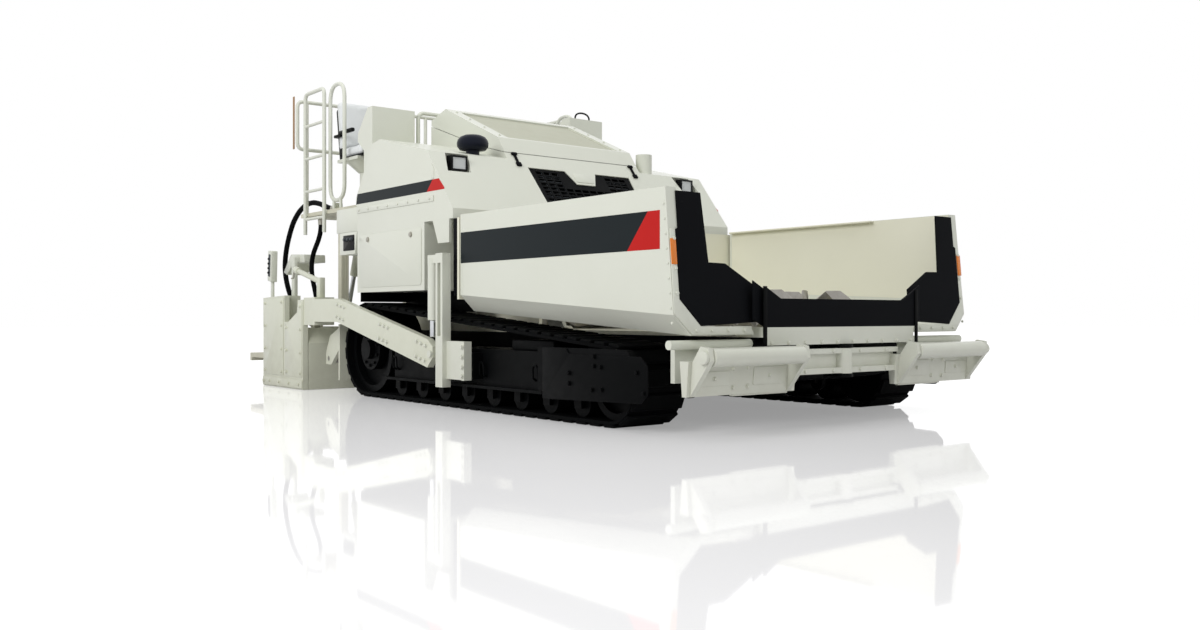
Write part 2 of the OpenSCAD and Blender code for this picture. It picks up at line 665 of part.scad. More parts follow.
// Operator seats and their pedestals
seat_d = 5000;
seat_y = 1175;
seat_half = 230;
seat_z = 2360;
module seats() color(seat_white) both_sides() {
    side([[seat_d - 260, seat_z], [seat_d - 280, seat_z + 60], [seat_d - 250, seat_z + 120],
        [seat_d + 160, seat_z + 110], [seat_d + 220, seat_z + 600], [seat_d + 270, seat_z + 640],
        [seat_d + 330, seat_z + 600], [seat_d + 290, seat_z + 60], [seat_d + 240, seat_z]],
        seat_y - seat_half, seat_y + seat_half);
}
module seat_pedestals() color(cream) both_sides() {
    rod_z(seat_d, seat_y, 75, deck_top, seat_z - 120);
    translate([sx(seat_d), seat_y, seat_z - 140]) cylinder(r1 = 90, r2 = 215, h = 110);
    block(seat_d - 230, seat_d + 230, seat_y - seat_half + 10, seat_y + seat_half - 10, seat_z - 31, seat_z);
}

// Boarding ladders beside the deck
ladder_y = deck_half + 28;
module ladder() {
    r = 20;
    for (d = [5300, 5770]) {
        rod_z(d, ladder_y, r, 1620, 3100);
        block(d - 15, d + 15, deck_half, ladder_y, deck_top - 35, deck_top - 5);
    }
    for (z = [1740, 2040, 2350, 2670, 3100])
        translate([sx(5770), ladder_y, z]) rotate([0, 90, 0]) cylinder(r = r, h = 470);
    for (d = [5300, 5770]) translate([sx(d), ladder_y, 3100]) sphere(r);
}
module ladders() color(cream) both_sides() ladder();

// Grab rails, the dash rail and the rear guard rail on the deck
module guard_rails() color(cream) {
    r = 20;
    both_sides() {
        for (d = [4900, 5190]) rod_z(d, deck_half - 40, r, deck_top, 2960);
        translate([sx(5045), deck_half - 40, 2960]) rotate([90, 0, 0]) rotate_extrude(angle = 180)
            translate([145, 0]) circle(r);
    }
    for (z = [2400, 2950]) rod_y(deck_rear - 60, z, r, -deck_half + 40, deck_half - 40);
    for (y = [-deck_half + 40, 0, deck_half - 40]) rod_z(deck_rear - 60, y, r, deck_top, 2950);
    for (y = [-deck_half + 40, deck_half - 40]) translate([sx(deck_rear - 60), y, 2950]) sphere(r);
    rod_y(cowl_rear + 60, 2790, r, -900, 900);
    for (y = [-900, 900]) {
        rod_z(cowl_rear + 60, y, r, deck_top, 2790);
        translate([sx(cowl_rear + 60), y, 2790]) sphere(r);
    }
}

// Tow posts bolted to the track guards, with the levelling cylinder and the tow pin
module tow_post() {
    difference() {
        block(2590, 2700, track_out + 66, arm_out - 5, 180, 1280);
        block(2620, 2670, arm_in - 10, arm_out, 600, 1200);
    }
    block(2270, 2591, guard_out, guard_out + 40, 250, 560);
    block(2270, 2310, guard_out, arm_out - 15, 250, 560);
    rod_z(2790, track_out + 115, 45, 730, 1240);
    block(2690, 2840, track_out + 75, arm_out - 10, 1200, 1270);
    rod_z(2790, track_out + 115, 25, 590, 740);
}
module tow_posts() color(cream) both_sides() {
    difference() {
        tow_post();
        block(2701, 2900, track_out + 60, arm_out, 300, 590);
    }
    rod_y(tow_d, tow_z, 30, track_out + 66, arm_out + 20);
    block(2690, tow_d, track_out + 66, arm_in - 8, tow_z - 40, tow_z + 40);
}

// Tow arms: bent plates from the tow point back to the screed
module tow_arms() color(cream) both_sides() difference() {
    union() {
        side([[tow_d + 60, tow_z - 115], [tow_d - 30, tow_z - 30], [tow_d - 30, tow_z + 60],
            [tow_d + 60, tow_z + 122], [4550, 930], [5110, 930], [5110, 930 - arm_h], [4560, 930 - arm_h]],
            arm_in, arm_out);
        block(5080, screed_front, screed_half - 100, arm_in + eps, 670, 950);
        block(5080, 5140, arm_in, arm_out, 670, 950);
    }
    rod_y(tow_d, tow_z, 30 + run_gap, arm_in - 1, arm_out + 1);
}

// Push beam with roller cheeks, swinging on a pin in the middle
module push_beam() color(cream) {
    difference() {
        union() {
            block(-165, -95, -600, 600, 360, 400);
            block(-165, -95, -600, 600, 500, 536);
            block(-120, -95, -600, 600, 360, 536);
            rod_z(pivot_d, 0, 65, 356, 536);
            both_sides() {
                side([[-160, 256], [-120, 256], [-100, 480], [-180, 480]], 560, push_half);
                for (y = [600, push_half - 70]) side([[push_d - 45, push_z - 20], [push_d - 30, push_z + 60],
                    [push_d + 40, push_z + 70], [-150, 430], [-110, 256], [-160, 256]], y, y + 40);
            }
        }
        rod_z(pivot_d, 0, pivot_r + run_gap, 300, 600);
        both_sides() rod_y(push_d, push_z, 22 + run_gap, 590, push_half);
    }
}
module push_roller() {
    rod_y(push_d, push_z, push_r, 645, push_half - 75);
    rod_y(push_d, push_z, 22, 600, push_half - 30);
}
module push_roller_left() color(cream) push_roller();
module push_roller_right() color(cream) right_side() push_roller();

// Moldboard behind the chassis, with the auger drive case and outer hangers
module moldboard() color(cream) {
    half = 1500;
    difference() {
        block(tail_d, tail_d + 30, -half, half, 120, chassis_top + 60);
        block(tail_d - eps, tail_d + 31, -chassis_half + plate_t, chassis_half - plate_t, floor_top, 1000);
    }
    difference() {
        union() {
            side([[tail_d + 29, 250], [tail_d + 29, 610], [spread_d - 60, 610], [spread_d + 80, spread_z + 90],
                [spread_d + 80, 250]], -45, 45);
            both_sides() side([[tail_d + 29, 420], [tail_d + 29, 640], [spread_d - 30, 560],
                [spread_d + 60, spread_z + 60], [spread_d + 60, spread_z - 60], [spread_d - 60, spread_z - 60]],
                half - 40, half);
        }
        rod_y(spread_d, spread_z, 25 + run_gap, -half - 1, half + 1);
    }
}
module spreader_auger(hand) {
    translate([sx(spread_d), 50, spread_z]) rotate([-90, 0, 0])
        flight(spread_r, spread_shaft_r, 1400, spread_pitch, hand, 12);
    rod_y(spread_d, spread_z, 25, 2, 51);
    rod_y(spread_d, spread_z, 25, 1449, 1498);
}
module spreader_auger_left() color(steel) spreader_auger(1);
module spreader_auger_right() color(steel) right_side() spreader_auger(1);

// Screed: main box, sliding extensions, end gates and walkways
module screed_main() color(cream) {
    rear = screed_front + screed_depth;
    side([[screed_front, 0], [screed_front, 480], [screed_front + 80, 640], [rear - 150, 640], [rear, 560],
        [rear, 0]], -screed_half, screed_half);
    both_sides() for (y = [lift_y - 45, lift_y + 25]) {
        side([[lift_eye[0] - 60, 639], [lift_eye[0] - 30, lift_eye[1] + 40], [lift_eye[0] + 30, lift_eye[1] + 40],
            [lift_eye[0] + 60, 639]], y, y + 20);
    }
    both_sides() rod_y(lift_eye[0], lift_eye[1], lift_pin_r - 6, lift_y - 26, lift_y + 26);
}
module extension() {
    side([[ext_front, 0], [ext_front, 560], [ext_rear - 120, 560], [ext_rear, 420], [ext_rear, 0]],
        seam, gate_in);
}
module extension_left() color(cream) extension();
module extension_right() color(cream) right_side() extension();
module end_gate() {
    f = screed_front;
    rear = ext_rear + 100;
    side([[f, 0], [f, 930], [f + 130, 930], [f + 150, 800], [f + 380, 700], [f + 480, 700], [f + 480, 0]],
        gate_in, gate_out);
    side([[f + 479, 0], [f + 479, 980], [rear, 960], [rear, 0]], gate_in, gate_out);
    side([[f + 540, 562], [f + 540, 980], [rear - 20, 960], [rear - 20, 562]], gate_in - 150, gate_in + eps);
}
module end_gate_left() color(cream) end_gate();
module end_gate_right() color(cream) right_side() end_gate();
module walkway() {
    side([[ext_rear, walk_z - 110], [ext_rear, walk_z], [walk_end, walk_z - 20], [walk_end, walk_z - 110],
        [walk_end - 40, walk_z - 110], [walk_end - 60, walk_z - 70], [ext_rear + 60, walk_z - 70]],
        30, gate_in - 20);
}
module walkway_left() color(cream) walkway();
module walkway_right() color(cream) right_side() walkway();

// Screed lift cylinders, in the line from the top pin to the screed's lug
lift_run = [lift_eye[0] - lift_top[0], lift_top[1] - lift_eye[1]];
lift_len = norm(lift_run);
lift_tilt = atan2(lift_run[0], lift_run[1]);
barrel_len = 480;
rod_r = 24;
module along_lift() translate([sx(lift_top[0]), lift_y, lift_top[1]]) rotate([0, 180 + lift_tilt, 0]) children();
module lift_barrel() along_lift() difference() {
    union() {
        cylinder(r = 44, h = barrel_len);
        rotate([90, 0, 0]) translate([0, 0, -26]) cylinder(r = 54, h = 52);
    }
    rotate([90, 0, 0]) translate([0, 0, -60]) cylinder(r = lift_pin_r + run_gap, h = 120);
    translate([0, 0, 70]) cylinder(r = rod_r + run_gap, h = barrel_len);
}
module lift_rod() along_lift() difference() {
    union() {
        translate([0, 0, 400]) cylinder(r = rod_r, h = lift_len - 430);
        translate([0, 0, lift_len]) rotate([90, 0, 0]) translate([0, 0, -20]) cylinder(r = 42, h = 40);
    }
    translate([0, 0, lift_len]) rotate([90, 0, 0]) translate([0, 0, -60]) cylinder(r = 24, h = 120);
}
module lift_barrel_left() color(cream) lift_barrel();
module lift_barrel_right() color(cream) right_side() lift_barrel();
module lift_rod_left() color(steel) lift_rod();
module lift_rod_right() color(steel) right_side() lift_rod();

main_frame();
track_frames();
track_wheels();
track_belts();
hopper_floor();
wing_right();
wing_left();
wing_flap_right();
wing_flap_left();
apron_rubber();
apron_plate();
bulkhead();
feed_auger_outer_right();
feed_auger_inner_right();
feed_auger_inner_left();
feed_auger_outer_left();
engine_block();
cowl_base();
cowl();
grille();
headlamps();
lamp_lenses();
hood_lid();
exhaust_stack();
air_precleaner();
side_tanks();
operator_deck();
tail_housing();
consoles();
seats();
seat_pedestals();
ladders();
guard_rails();
tow_posts();
tow_arms();
push_beam();
push_roller_right();
push_roller_left();
moldboard();
spreader_auger_right();
spreader_auger_left();
screed_main();
extension_right();
extension_left();
end_gate_right();
end_gate_left();
walkway_right();
walkway_left();
lift_barrel_right();
lift_barrel_left();
lift_rod_right();
lift_rod_left();
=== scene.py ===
import math
import bpy
from mathutils import Matrix, Vector


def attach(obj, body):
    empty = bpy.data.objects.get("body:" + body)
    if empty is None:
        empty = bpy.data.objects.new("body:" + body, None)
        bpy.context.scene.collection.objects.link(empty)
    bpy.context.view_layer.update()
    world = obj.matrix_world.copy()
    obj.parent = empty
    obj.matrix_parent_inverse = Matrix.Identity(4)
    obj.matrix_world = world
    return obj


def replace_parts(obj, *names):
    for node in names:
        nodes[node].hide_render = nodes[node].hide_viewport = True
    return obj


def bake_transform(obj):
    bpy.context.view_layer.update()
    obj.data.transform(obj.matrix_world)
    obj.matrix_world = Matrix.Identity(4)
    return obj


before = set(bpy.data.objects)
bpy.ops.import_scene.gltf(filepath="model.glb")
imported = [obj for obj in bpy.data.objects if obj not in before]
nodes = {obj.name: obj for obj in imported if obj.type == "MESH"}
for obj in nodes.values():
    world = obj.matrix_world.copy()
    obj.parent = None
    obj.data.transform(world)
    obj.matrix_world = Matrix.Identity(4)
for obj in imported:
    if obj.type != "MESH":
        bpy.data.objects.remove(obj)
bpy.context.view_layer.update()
noseX = 3.3925  # x of the hopper's front line; stations d run back from it


def at(d, y, z):
    return Vector((noseX - d, y, z))


# camera: level, low and close, as a photographer kneeling off the front right corner
shot = dict(place=(8.4465, -6.172, 0.772), level=90, turn=51.34, lens=32.2, sensor=36, reach=200)
aim = (math.radians(shot["level"]), 0, math.radians(shot["turn"]))
bpy.ops.object.camera_add(location=shot["place"], rotation=aim)
camera = bpy.context.object
camera.data.lens = shot["lens"]
camera.data.sensor_width = shot["sensor"]
camera.data.clip_end = shot["reach"]
bpy.context.scene.camera = camera
print("camera set")


# colours and nodes
def linear(code):
    parts = [int(code[k:k + 2], 16) / 255 for k in (1, 3, 5)]
    return tuple(c / 12.92 if c <= 0.04045 else ((c + 0.055) / 1.055) ** 2.4 for c in parts) + (1.0,)


def shaded(code, share):
    return tuple(share * c for c in linear(code))


def addNode(tree, kind, inputs=None, **settings):
    made = tree.nodes.new(kind)
    for key, value in settings.items():
        setattr(made, key, value)
    for key, value in (inputs or {}).items():
        if isinstance(value, bpy.types.NodeSocket):
            tree.links.new(value, made.inputs[key])
        else:
            made.inputs[key].default_value = value
    return made


def newMaterial(name):
    made = bpy.data.materials.new(name)
    made.use_nodes = True
    made.node_tree.nodes.clear()
    return made, made.node_tree


def objectPlace(tree):
    return addNode(tree, "ShaderNodeTexCoord").outputs["Object"]


def noise(tree, place, size, detail, roughness=0.5):
    # clouds about size metres across
    inputs = {"Vector": place, "Scale": 1 / size, "Detail": detail, "Roughness": roughness}
    return addNode(tree, "ShaderNodeTexNoise", inputs).outputs["Fac"]


waveScale = 3.2  # the wave texture's own bands per unit of scale


def waves(tree, place, size, **settings):
    # straight bands about size metres apart
    inputs = {"Vector": place, "Scale": 1 / size / waveScale, "Distortion": 0.0}
    return addNode(tree, "ShaderNodeTexWave", inputs, **settings).outputs["Fac"]


def mixed(tree, share, a, b):
    inputs = {"Factor": share, "A": a, "B": b}
    return addNode(tree, "ShaderNodeMix", inputs, data_type="RGBA").outputs["Result"]


def spread(tree, value, low, high, start=0.0, end=1.0):
    # a value between start and end moved to between low and high
    inputs = {"Value": value, "From Min": start, "From Max": end, "To Min": low, "To Max": high}
    return addNode(tree, "ShaderNodeMapRange", inputs).outputs["Result"]


def maths(tree, operation, a, b=0.0):
    return addNode(tree, "ShaderNodeMath", {0: a, 1: b}, operation=operation).outputs[0]


def bumped(tree, height, strength, depth):
    inputs = {"Height": height, "Strength": strength, "Distance": depth}
    return addNode(tree, "ShaderNodeBump", inputs).outputs["Normal"]


def close(tree, shader):
    addNode(tree, "ShaderNodeOutputMaterial", {"Surface": shader.outputs[0]})


def surfaced(made, colour, rough, **others):
    inputs = {"Base Color": colour, "Roughness": rough}
    inputs.update({key.replace("_", " "): value for key, value in others.items()})
    close(made.node_tree, addNode(made.node_tree, "ShaderNodeBsdfPrincipled", inputs))
    return made


# sprayed machine enamel on rolled plate: soft gloss, faint orange peel, a little fade, road dust low down
# fade in 700 mm patches, dust in 110 mm clouds; real peel is 2 mm, drawn at 14 mm so it shows
enamel = dict(fade=0.70, dust=0.11, peel=0.014, dustLow=0.05, frontX=noseX - 0.10, frontY=0.858)


def sprayedEnamel(name, colour, faded, dust, gloss=0.34, coat=0.35, dustTop=0.95, dustShare=0.35,
                  shine=0.5, front=None):
    made, tree = newMaterial(name)
    place = objectPlace(tree)
    patch = noise(tree, place, enamel["fade"], 4.0, 0.55)
    tone = mixed(tree, patch, linear(colour), linear(faded))
    split = addNode(tree, "ShaderNodeSeparateXYZ", {"Vector": place}).outputs
    if front:  # the cross plates and step tubes ahead of the tracks have the body colour
        ahead = maths(tree, "GREATER_THAN", split["X"], enamel["frontX"])
        aside = maths(tree, "GREATER_THAN", maths(tree, "ABSOLUTE", split["Y"]), enamel["frontY"])
        tone = mixed(tree, maths(tree, "MULTIPLY", ahead, aside), tone, linear(front))
    low = spread(tree, split["Z"], dustShare, 0.0, enamel["dustLow"], dustTop)
    cloud = noise(tree, place, enamel["dust"], 5.0, 0.65)
    dusty = mixed(tree, maths(tree, "MULTIPLY", low, cloud), tone, linear(dust))
    rough = spread(tree, cloud, gloss - 0.05, gloss + 0.08, 0.3, 0.7)
    peel = bumped(tree, noise(tree, place, enamel["peel"], 1.0), 0.05, 0.002)
    return surfaced(made, dusty, rough, Normal=peel, IOR=1.5, Specular_IOR_Level=shine,
                    Coat_Weight=coat, Coat_Roughness=0.12)


creamEnamel = sprayedEnamel("creamEnamel", "#dfe1d6", "#d8dacd", "#a39a86")
hopperEnamel = sprayedEnamel("hopperEnamel", "#eeecdb", "#e6e4d1", "#a89f88", gloss=0.42, coat=0.15,
                             dustTop=1.2, dustShare=0.2)
screedEnamel = sprayedEnamel("screedEnamel", "#e1e3d3", "#d8dac8", "#9b927e", gloss=0.38, coat=0.25)
blackEnamel = sprayedEnamel("blackEnamel", "#060708", "#090a0b", "#161513", gloss=0.46, coat=0.0,
                            dustShare=0.10, shine=0.05)
# black main frame with cream cross plates ahead of the tracks; the black is partly the belly's own paint and
# partly painted shade of the dark underside between the tracks
frameBlackAndShade = sprayedEnamel("frameBlackAndShade", "#060708", "#090a0b", "#161513", gloss=0.44, coat=0.0,
                            dustShare=0.08, shine=0.05, front="#e0e2d6")
# darker cream for the screen in the hood's sunk panel: painted shade of the recess
sunkPanelShadeEnamel = sprayedEnamel("sunkPanelShadeEnamel", "#bcbdab", "#b3b4a1", "#a39a86", gloss=0.5, coat=0.0)
tanStrip = sprayedEnamel("tanStrip", "#a5815a", "#8c6844", "#6a5a48", gloss=0.5, coat=0.0)


# cast vinyl film: one flat colour, smooth, a shade glossier than the paint below it
def castVinyl(name, colour, faded, fade=0.35):
    made, tree = newMaterial(name)
    patch = noise(tree, objectPlace(tree), fade, 3.0)
    tone = mixed(tree, patch, linear(colour), linear(faded))
    return surfaced(made, tone, spread(tree, patch, 0.24, 0.36), IOR=1.48, Specular_IOR_Level=0.10)


charcoalVinyl = castVinyl("charcoalVinyl", "#191f22", "#1c2326")
redVinyl = castVinyl("redVinyl", "#bc1f1d", "#c42624")


# moulded and calendered rubber: near black, dull, with a fine pebble and pale scuffs in 250 mm clouds
def blackRubber(name, colour, scuff, grain=0.006, scuffShare=0.3, strength=0.12, scuffSize=0.25):
    made, tree = newMaterial(name)
    place = objectPlace(tree)
    cloud = noise(tree, place, scuffSize, 6.0, 0.6)
    tone = mixed(tree, spread(tree, cloud, 0.0, scuffShare, 0.45, 0.75), linear(colour), linear(scuff))
    pebble = bumped(tree, noise(tree, place, grain, 2.0), strength, 0.001)
    return surfaced(made, tone, spread(tree, cloud, 0.55, 0.78), Normal=pebble, IOR=1.52,
                    Specular_IOR_Level=0.05)


flapRubber = blackRubber("flapRubber", "#0c0d10", "#16181b")
trackRubber = blackRubber("trackRubber", "#060708", "#121110", grain=0.010, scuffShare=0.35, strength=0.2)
hoseRubber = blackRubber("hoseRubber", "#0a0b0c", "#15171a", grain=0.004)


# bare and plated steel: worn flights, zinc bolts, hard chrome rods, with scratches at 8 mm
def bareSteel(name, colour, dark, roughness, wear=0.05, scratch=0.008):
    made, tree = newMaterial(name)
    place = objectPlace(tree)
    cloud = noise(tree, place, wear, 6.0, 0.65)
    tone = mixed(tree, cloud, linear(dark), linear(colour))
    rough = spread(tree, cloud, roughness, roughness + 0.2, 0.3, 0.7)
    scored = bumped(tree, noise(tree, place, scratch, 3.0), 0.08, 0.001)
    return surfaced(made, tone, rough, Metallic=1.0, Normal=scored)


wornSteel = bareSteel("wornSteel", "#b9b7b2", "#7d7870", 0.3)
zincSteel = bareSteel("zincSteel", "#cfcdc4", "#a7a498", 0.35, wear=0.02)
hardChrome = bareSteel("hardChrome", "#dfe1e4", "#c9ccd0", 0.08, wear=0.2)
castIron = bareSteel("castIron", "#5d5f63", "#45474b", 0.5, wear=0.08)


# moulded plastic: even, with a 4 mm leather grain, drawn coarse
def mouldedPlastic(name, colour, roughness, grainSize=0.004):
    made, tree = newMaterial(name)
    grain = noise(tree, objectPlace(tree), grainSize, 2.0)
    tone = mixed(tree, grain, linear(colour), shaded(colour, 0.8))
    rough = spread(tree, grain, roughness - 0.06, roughness + 0.06)
    return surfaced(made, tone, rough, Normal=bumped(tree, grain, 0.1, 0.0008), IOR=1.46,
                    Specular_IOR_Level=0.20)


blackAbs = mouldedPlastic("blackAbs", "#0b0c0e", 0.42)
navyAbs = mouldedPlastic("navyAbs", "#0d1220", 0.38)
greyAbs = mouldedPlastic("greyAbs", "#4b4f54", 0.5)


# pressed lamp glass and the amber reflector: clear or tinted, with moulded ribs
def mouldedLens(name, colour, rib, clear):
    made, tree = newMaterial(name)
    ribs = waves(tree, objectPlace(tree), rib, bands_direction="Y")
    tone = mixed(tree, ribs, linear(colour), shaded(colour, 0.86))
    return surfaced(made, tone, 0.08, Normal=bumped(tree, ribs, 0.35, 0.002), IOR=1.5,
                    Transmission_Weight=clear)


lampGlass = mouldedLens("lampGlass", "#f1f5f6", 0.012, 0.2)
amberLens = mouldedLens("amberLens", "#f0820f", 0.01, 0.0)


# coated upholstery vinyl: white, soft sheen, hide grain in 7 mm cells, drawn coarse
def seatVinyl(name, colour, crease, cell=0.007, fade=0.2):
    made, tree = newMaterial(name)
    place = objectPlace(tree)
    cells = {"Vector": place, "Scale": 1 / cell}
    hide = addNode(tree, "ShaderNodeTexVoronoi", cells, feature="DISTANCE_TO_EDGE").outputs["Distance"]
    cloud = noise(tree, place, fade, 4.0)
    tone = mixed(tree, cloud, linear(colour), linear(crease))
    return surfaced(made, tone, spread(tree, cloud, 0.36, 0.5), Normal=bumped(tree, hide, 0.12, 0.001),
                    IOR=1.47, Sheen_Weight=0.1)


whiteVinyl = seatVinyl("whiteVinyl", "#eff1f2", "#e2e5e7")


# painted raised-pattern plate: short bars, each turned against its neighbour
def treadPlate(name, colour, faded, pitch=0.036, fade=0.15):
    made, tree = newMaterial(name)
    place = objectPlace(tree)
    bars = []
    for turn in (45, -45):
        inputs = {"Vector": place, "Rotation": (0, 0, math.radians(turn))}
        bars.append(waves(tree, addNode(tree, "ShaderNodeMapping", inputs).outputs[0], pitch))
    step = spread(tree, maths(tree, "MAXIMUM", *bars), 0.0, 1.0, 0.75, 0.95)
    cloud = noise(tree, place, fade, 4.0)
    tone = mixed(tree, cloud, linear(colour), linear(faded))
    return surfaced(made, tone, spread(tree, cloud, 0.42, 0.6), Normal=bumped(tree, step, 0.6, 0.002),
                    IOR=1.5)


deckPlate = treadPlate("deckPlate", "#d9d7c6", "#cac7b2")
print("materials made")

# finishes of the pieces that the solids already shape
finishes = [
    (creamEnamel, "wing_right wing_left apron_plate cowl_base cowl hood_lid exhaust_stack side_tanks "
     "tail_housing consoles seat_pedestals ladders guard_rails tow_posts push_beam push_roller_right "
     "push_roller_left"),
    (screedEnamel, "tow_arms moldboard screed_main extension_right extension_left end_gate_right "
     "end_gate_left lift_barrel_right lift_barrel_left"),
    (hopperEnamel, "hopper_floor bulkhead"),
    (deckPlate, "operator_deck walkway_right walkway_left"),
    # the main frame's black: its own paint, and painted shade under the machine
    (frameBlackAndShade, "main_frame"),
    (blackEnamel, "track_frames track_wheels grille"),
    (trackRubber, "track_belts"),
    (flapRubber, "wing_flap_right wing_flap_left apron_rubber"),
    (wornSteel, "feed_auger_outer_right feed_auger_inner_right feed_auger_inner_left "
     "feed_auger_outer_left spreader_auger_right spreader_auger_left"),
    (hardChrome, "lift_rod_right lift_rod_left"),
    (castIron, "engine_block"),
    (blackAbs, "headlamps"),
    (navyAbs, "air_precleaner"),
    (lampGlass, "lamp_lenses"),
    (whiteVinyl, "seats"),
]
for material, names in finishes:
    for name in names.split():
        if name in nodes:
            nodes[name].data.materials.clear()
            nodes[name].data.materials.append(material)

sides = [("right", -1), ("left", 1)]
film = 0.0003  # the hair of air under a plate that lies on a face


# modelling helpers
def clearSelection():
    bpy.ops.object.select_all(action="DESELECT")


def settle(piece, name, material, body="machine", smooth=35):
    clearSelection()
    piece.select_set(True)
    bpy.context.view_layer.objects.active = piece
    bpy.ops.object.transform_apply(location=True, rotation=True, scale=True)
    piece.name = name
    piece.data.name = name
    piece.data.materials.clear()
    piece.data.materials.append(material)
    bpy.ops.object.shade_smooth_by_angle(angle=math.radians(smooth))
    if body:
        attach(piece, body)
    return piece


def shaped(piece, kind, **settings):
    # one modifier, set and applied
    bpy.context.view_layer.objects.active = piece
    made = piece.modifiers.new("shape", kind)
    for key, value in settings.items():
        setattr(made, key, value)
    bpy.ops.object.modifier_apply(modifier="shape")


def soften(piece, width, segments=2, angle=40):
    shaped(piece, "BEVEL", width=width, segments=segments, limit_method="ANGLE",
           angle_limit=math.radians(angle))


def copyOf(model, move):
    copy = model.copy()
    copy.data = model.data.copy()
    bpy.context.scene.collection.objects.link(copy)
    copy.data.transform(move)
    return copy


def facing(out):
    return Vector(out).to_track_quat("Z", "Y").to_matrix().to_4x4()


def ring(outline, fill="NOTHING"):
    # a closed line of points along an outline, open or filled
    clearSelection()
    bpy.ops.mesh.primitive_circle_add(vertices=len(outline), radius=1, fill_type=fill)
    made = bpy.context.object
    for corner, p in zip(made.data.vertices, outline):
        corner.co = p
    return made


def pull(push):
    # draws the active blank out and turns its faces outward
    bpy.ops.object.mode_set(mode="EDIT")
    bpy.ops.mesh.select_all(action="SELECT")
    bpy.ops.mesh.extrude_region_move(TRANSFORM_OT_translate={"value": push})
    bpy.ops.mesh.select_all(action="SELECT")
    bpy.ops.mesh.normals_make_consistent(inside=False)
    bpy.ops.object.mode_set(mode="OBJECT")


def cutPlate(outline, push, edge=0.0):
    # a flat blank cut to an outline, then pulled to its thickness
    plate = ring(outline, "NGON")
    pull(push)
    if edge:
        soften(plate, edge)
    return plate


def joined(pieces):
    clearSelection()
    for piece in pieces:
        piece.select_set(True)
    bpy.context.view_layer.objects.active = pieces[0]
    if len(pieces) > 1:
        bpy.ops.object.join()
    return bpy.context.view_layer.objects.active


# a bolt's shares of its size over flats and of its height
boltShares = dict(washer=0.72, head=0.56, low=0.25, inset=0.09, dish=0.12)


def hexBolt(across, height, corners=6):
    # a head on its washer; with many corners it serves as a knob
    clearSelection()
    s = boltShares
    low = height * s["low"]
    bpy.ops.mesh.primitive_cylinder_add(vertices=max(12, corners), radius=across * s["washer"], depth=low,
                                        location=(0, 0, low / 2))
    washer = bpy.context.object
    bpy.ops.mesh.primitive_cylinder_add(vertices=corners, radius=across * s["head"], depth=height - low,
                                        location=(0, 0, (height + low) / 2))
    head = bpy.context.object
    bpy.ops.object.mode_set(mode="EDIT")
    bpy.ops.mesh.select_all(action="DESELECT")
    bpy.ops.object.mode_set(mode="OBJECT")
    for face in head.data.polygons:
        face.select = face.normal.z > 0.9
    bpy.ops.object.mode_set(mode="EDIT")
    bpy.ops.mesh.inset(thickness=across * s["inset"], depth=height * s["dish"])
    bpy.ops.object.mode_set(mode="OBJECT")
    bolt = joined([head, washer])
    bpy.ops.object.transform_apply(location=True, rotation=True, scale=True)
    return bolt


def boltSet(name, spots, across, height, body="machine", material=creamEnamel, corners=6):
    # bolts at places with directions, each turned a little from the one before
    model = hexBolt(across, height, corners)
    copies = []
    for k, (p, out) in enumerate(spots):
        spin = Matrix.Rotation(math.radians(17 * k % 60), 4, "Z")
        copies.append(copyOf(model, Matrix.Translation(p) @ facing(out) @ spin))
    bpy.data.objects.remove(model)
    return settle(joined(copies), name, material, body)


def bentTube(name, points, radius, material, body=None, closed=False, sides=3):
    line = bpy.data.curves.new(name, "CURVE")
    line.dimensions = "3D"
    line.bevel_depth = radius
    line.bevel_resolution = sides
    line.use_fill_caps = True
    run = line.splines.new("POLY")
    run.points.add(len(points) - 1)
    for point, p in zip(run.points, points):
        point.co = (*p, 1)
    run.use_cyclic_u = closed
    tube = bpy.data.objects.new(name, line)
    bpy.context.scene.collection.objects.link(tube)
    clearSelection()
    tube.select_set(True)
    bpy.context.view_layer.objects.active = tube
    bpy.ops.object.convert(target="MESH")
    return settle(bpy.context.object, name, material, body, 50)


def square(a0, a1, b0, b1):
    return [(a0, b0), (a1, b0), (a1, b1), (a0, b1)]


def rounded(corners, radius, steps=4):
    # a flat outline with each corner taken off in a curve
    outline = []
    for k in range(len(corners)):
        before, corner, after = (Vector(corners[(k + j) % len(corners)]) for j in (-1, 0, 1))
        a = (before - corner).normalized() * radius
        b = (after - corner).normalized() * radius
        outline += [corner + a * (1 - i / steps) ** 2 + b * (i / steps) ** 2 for i in range(steps + 1)]
    return outline


def sideOutline(corners, side, y):
    # places on a face that looks sideways, from stations and heights
    return [at(d, side * y, z) for d, z in corners]


def sidePanel(corners, side, y, thick, radius=0.012, edge=0.0015):
    return cutPlate(sideOutline(rounded(corners, radius), side, y), (0, side * thick, 0), edge)


def leaningFace(foot, along, out, side=1):
    # gives the places on a leaning face: y across it, s along it from its foot, lift out of it
    def spot(y, s, lift=0.0):
        return at(foot[0] + along[0] * s, side * y, foot[1] + along[1] * s) + out * lift
    return spot


def plateOn(spot, corners, push, lift=film, edge=0.0, radius=0.0):
    outline = rounded(corners, radius) if radius else corners
    return cutPlate([spot(y, s, lift) for y, s in outline], push, edge)


def slab(low, high, edge=0.004, segments=2):
    # a block between two corners, its edges broken
    clearSelection()
    bpy.ops.mesh.primitive_cube_add(size=1, location=[(a + b) / 2 for a, b in zip(low, high)])
    block = bpy.context.object
    block.scale = [abs(b - a) for a, b in zip(low, high)]
    bpy.ops.object.transform_apply(location=True, rotation=False, scale=True)
    soften(block, edge, segments)
    return block


def sideSlab(side, low, high, edge=0.004, segments=2):
    # a block whose corners are a station, a distance to the side and a height
    ends = [at(d, side * y, z) for d, y, z in (low, high)]
    return slab(*ends, edge, segments)


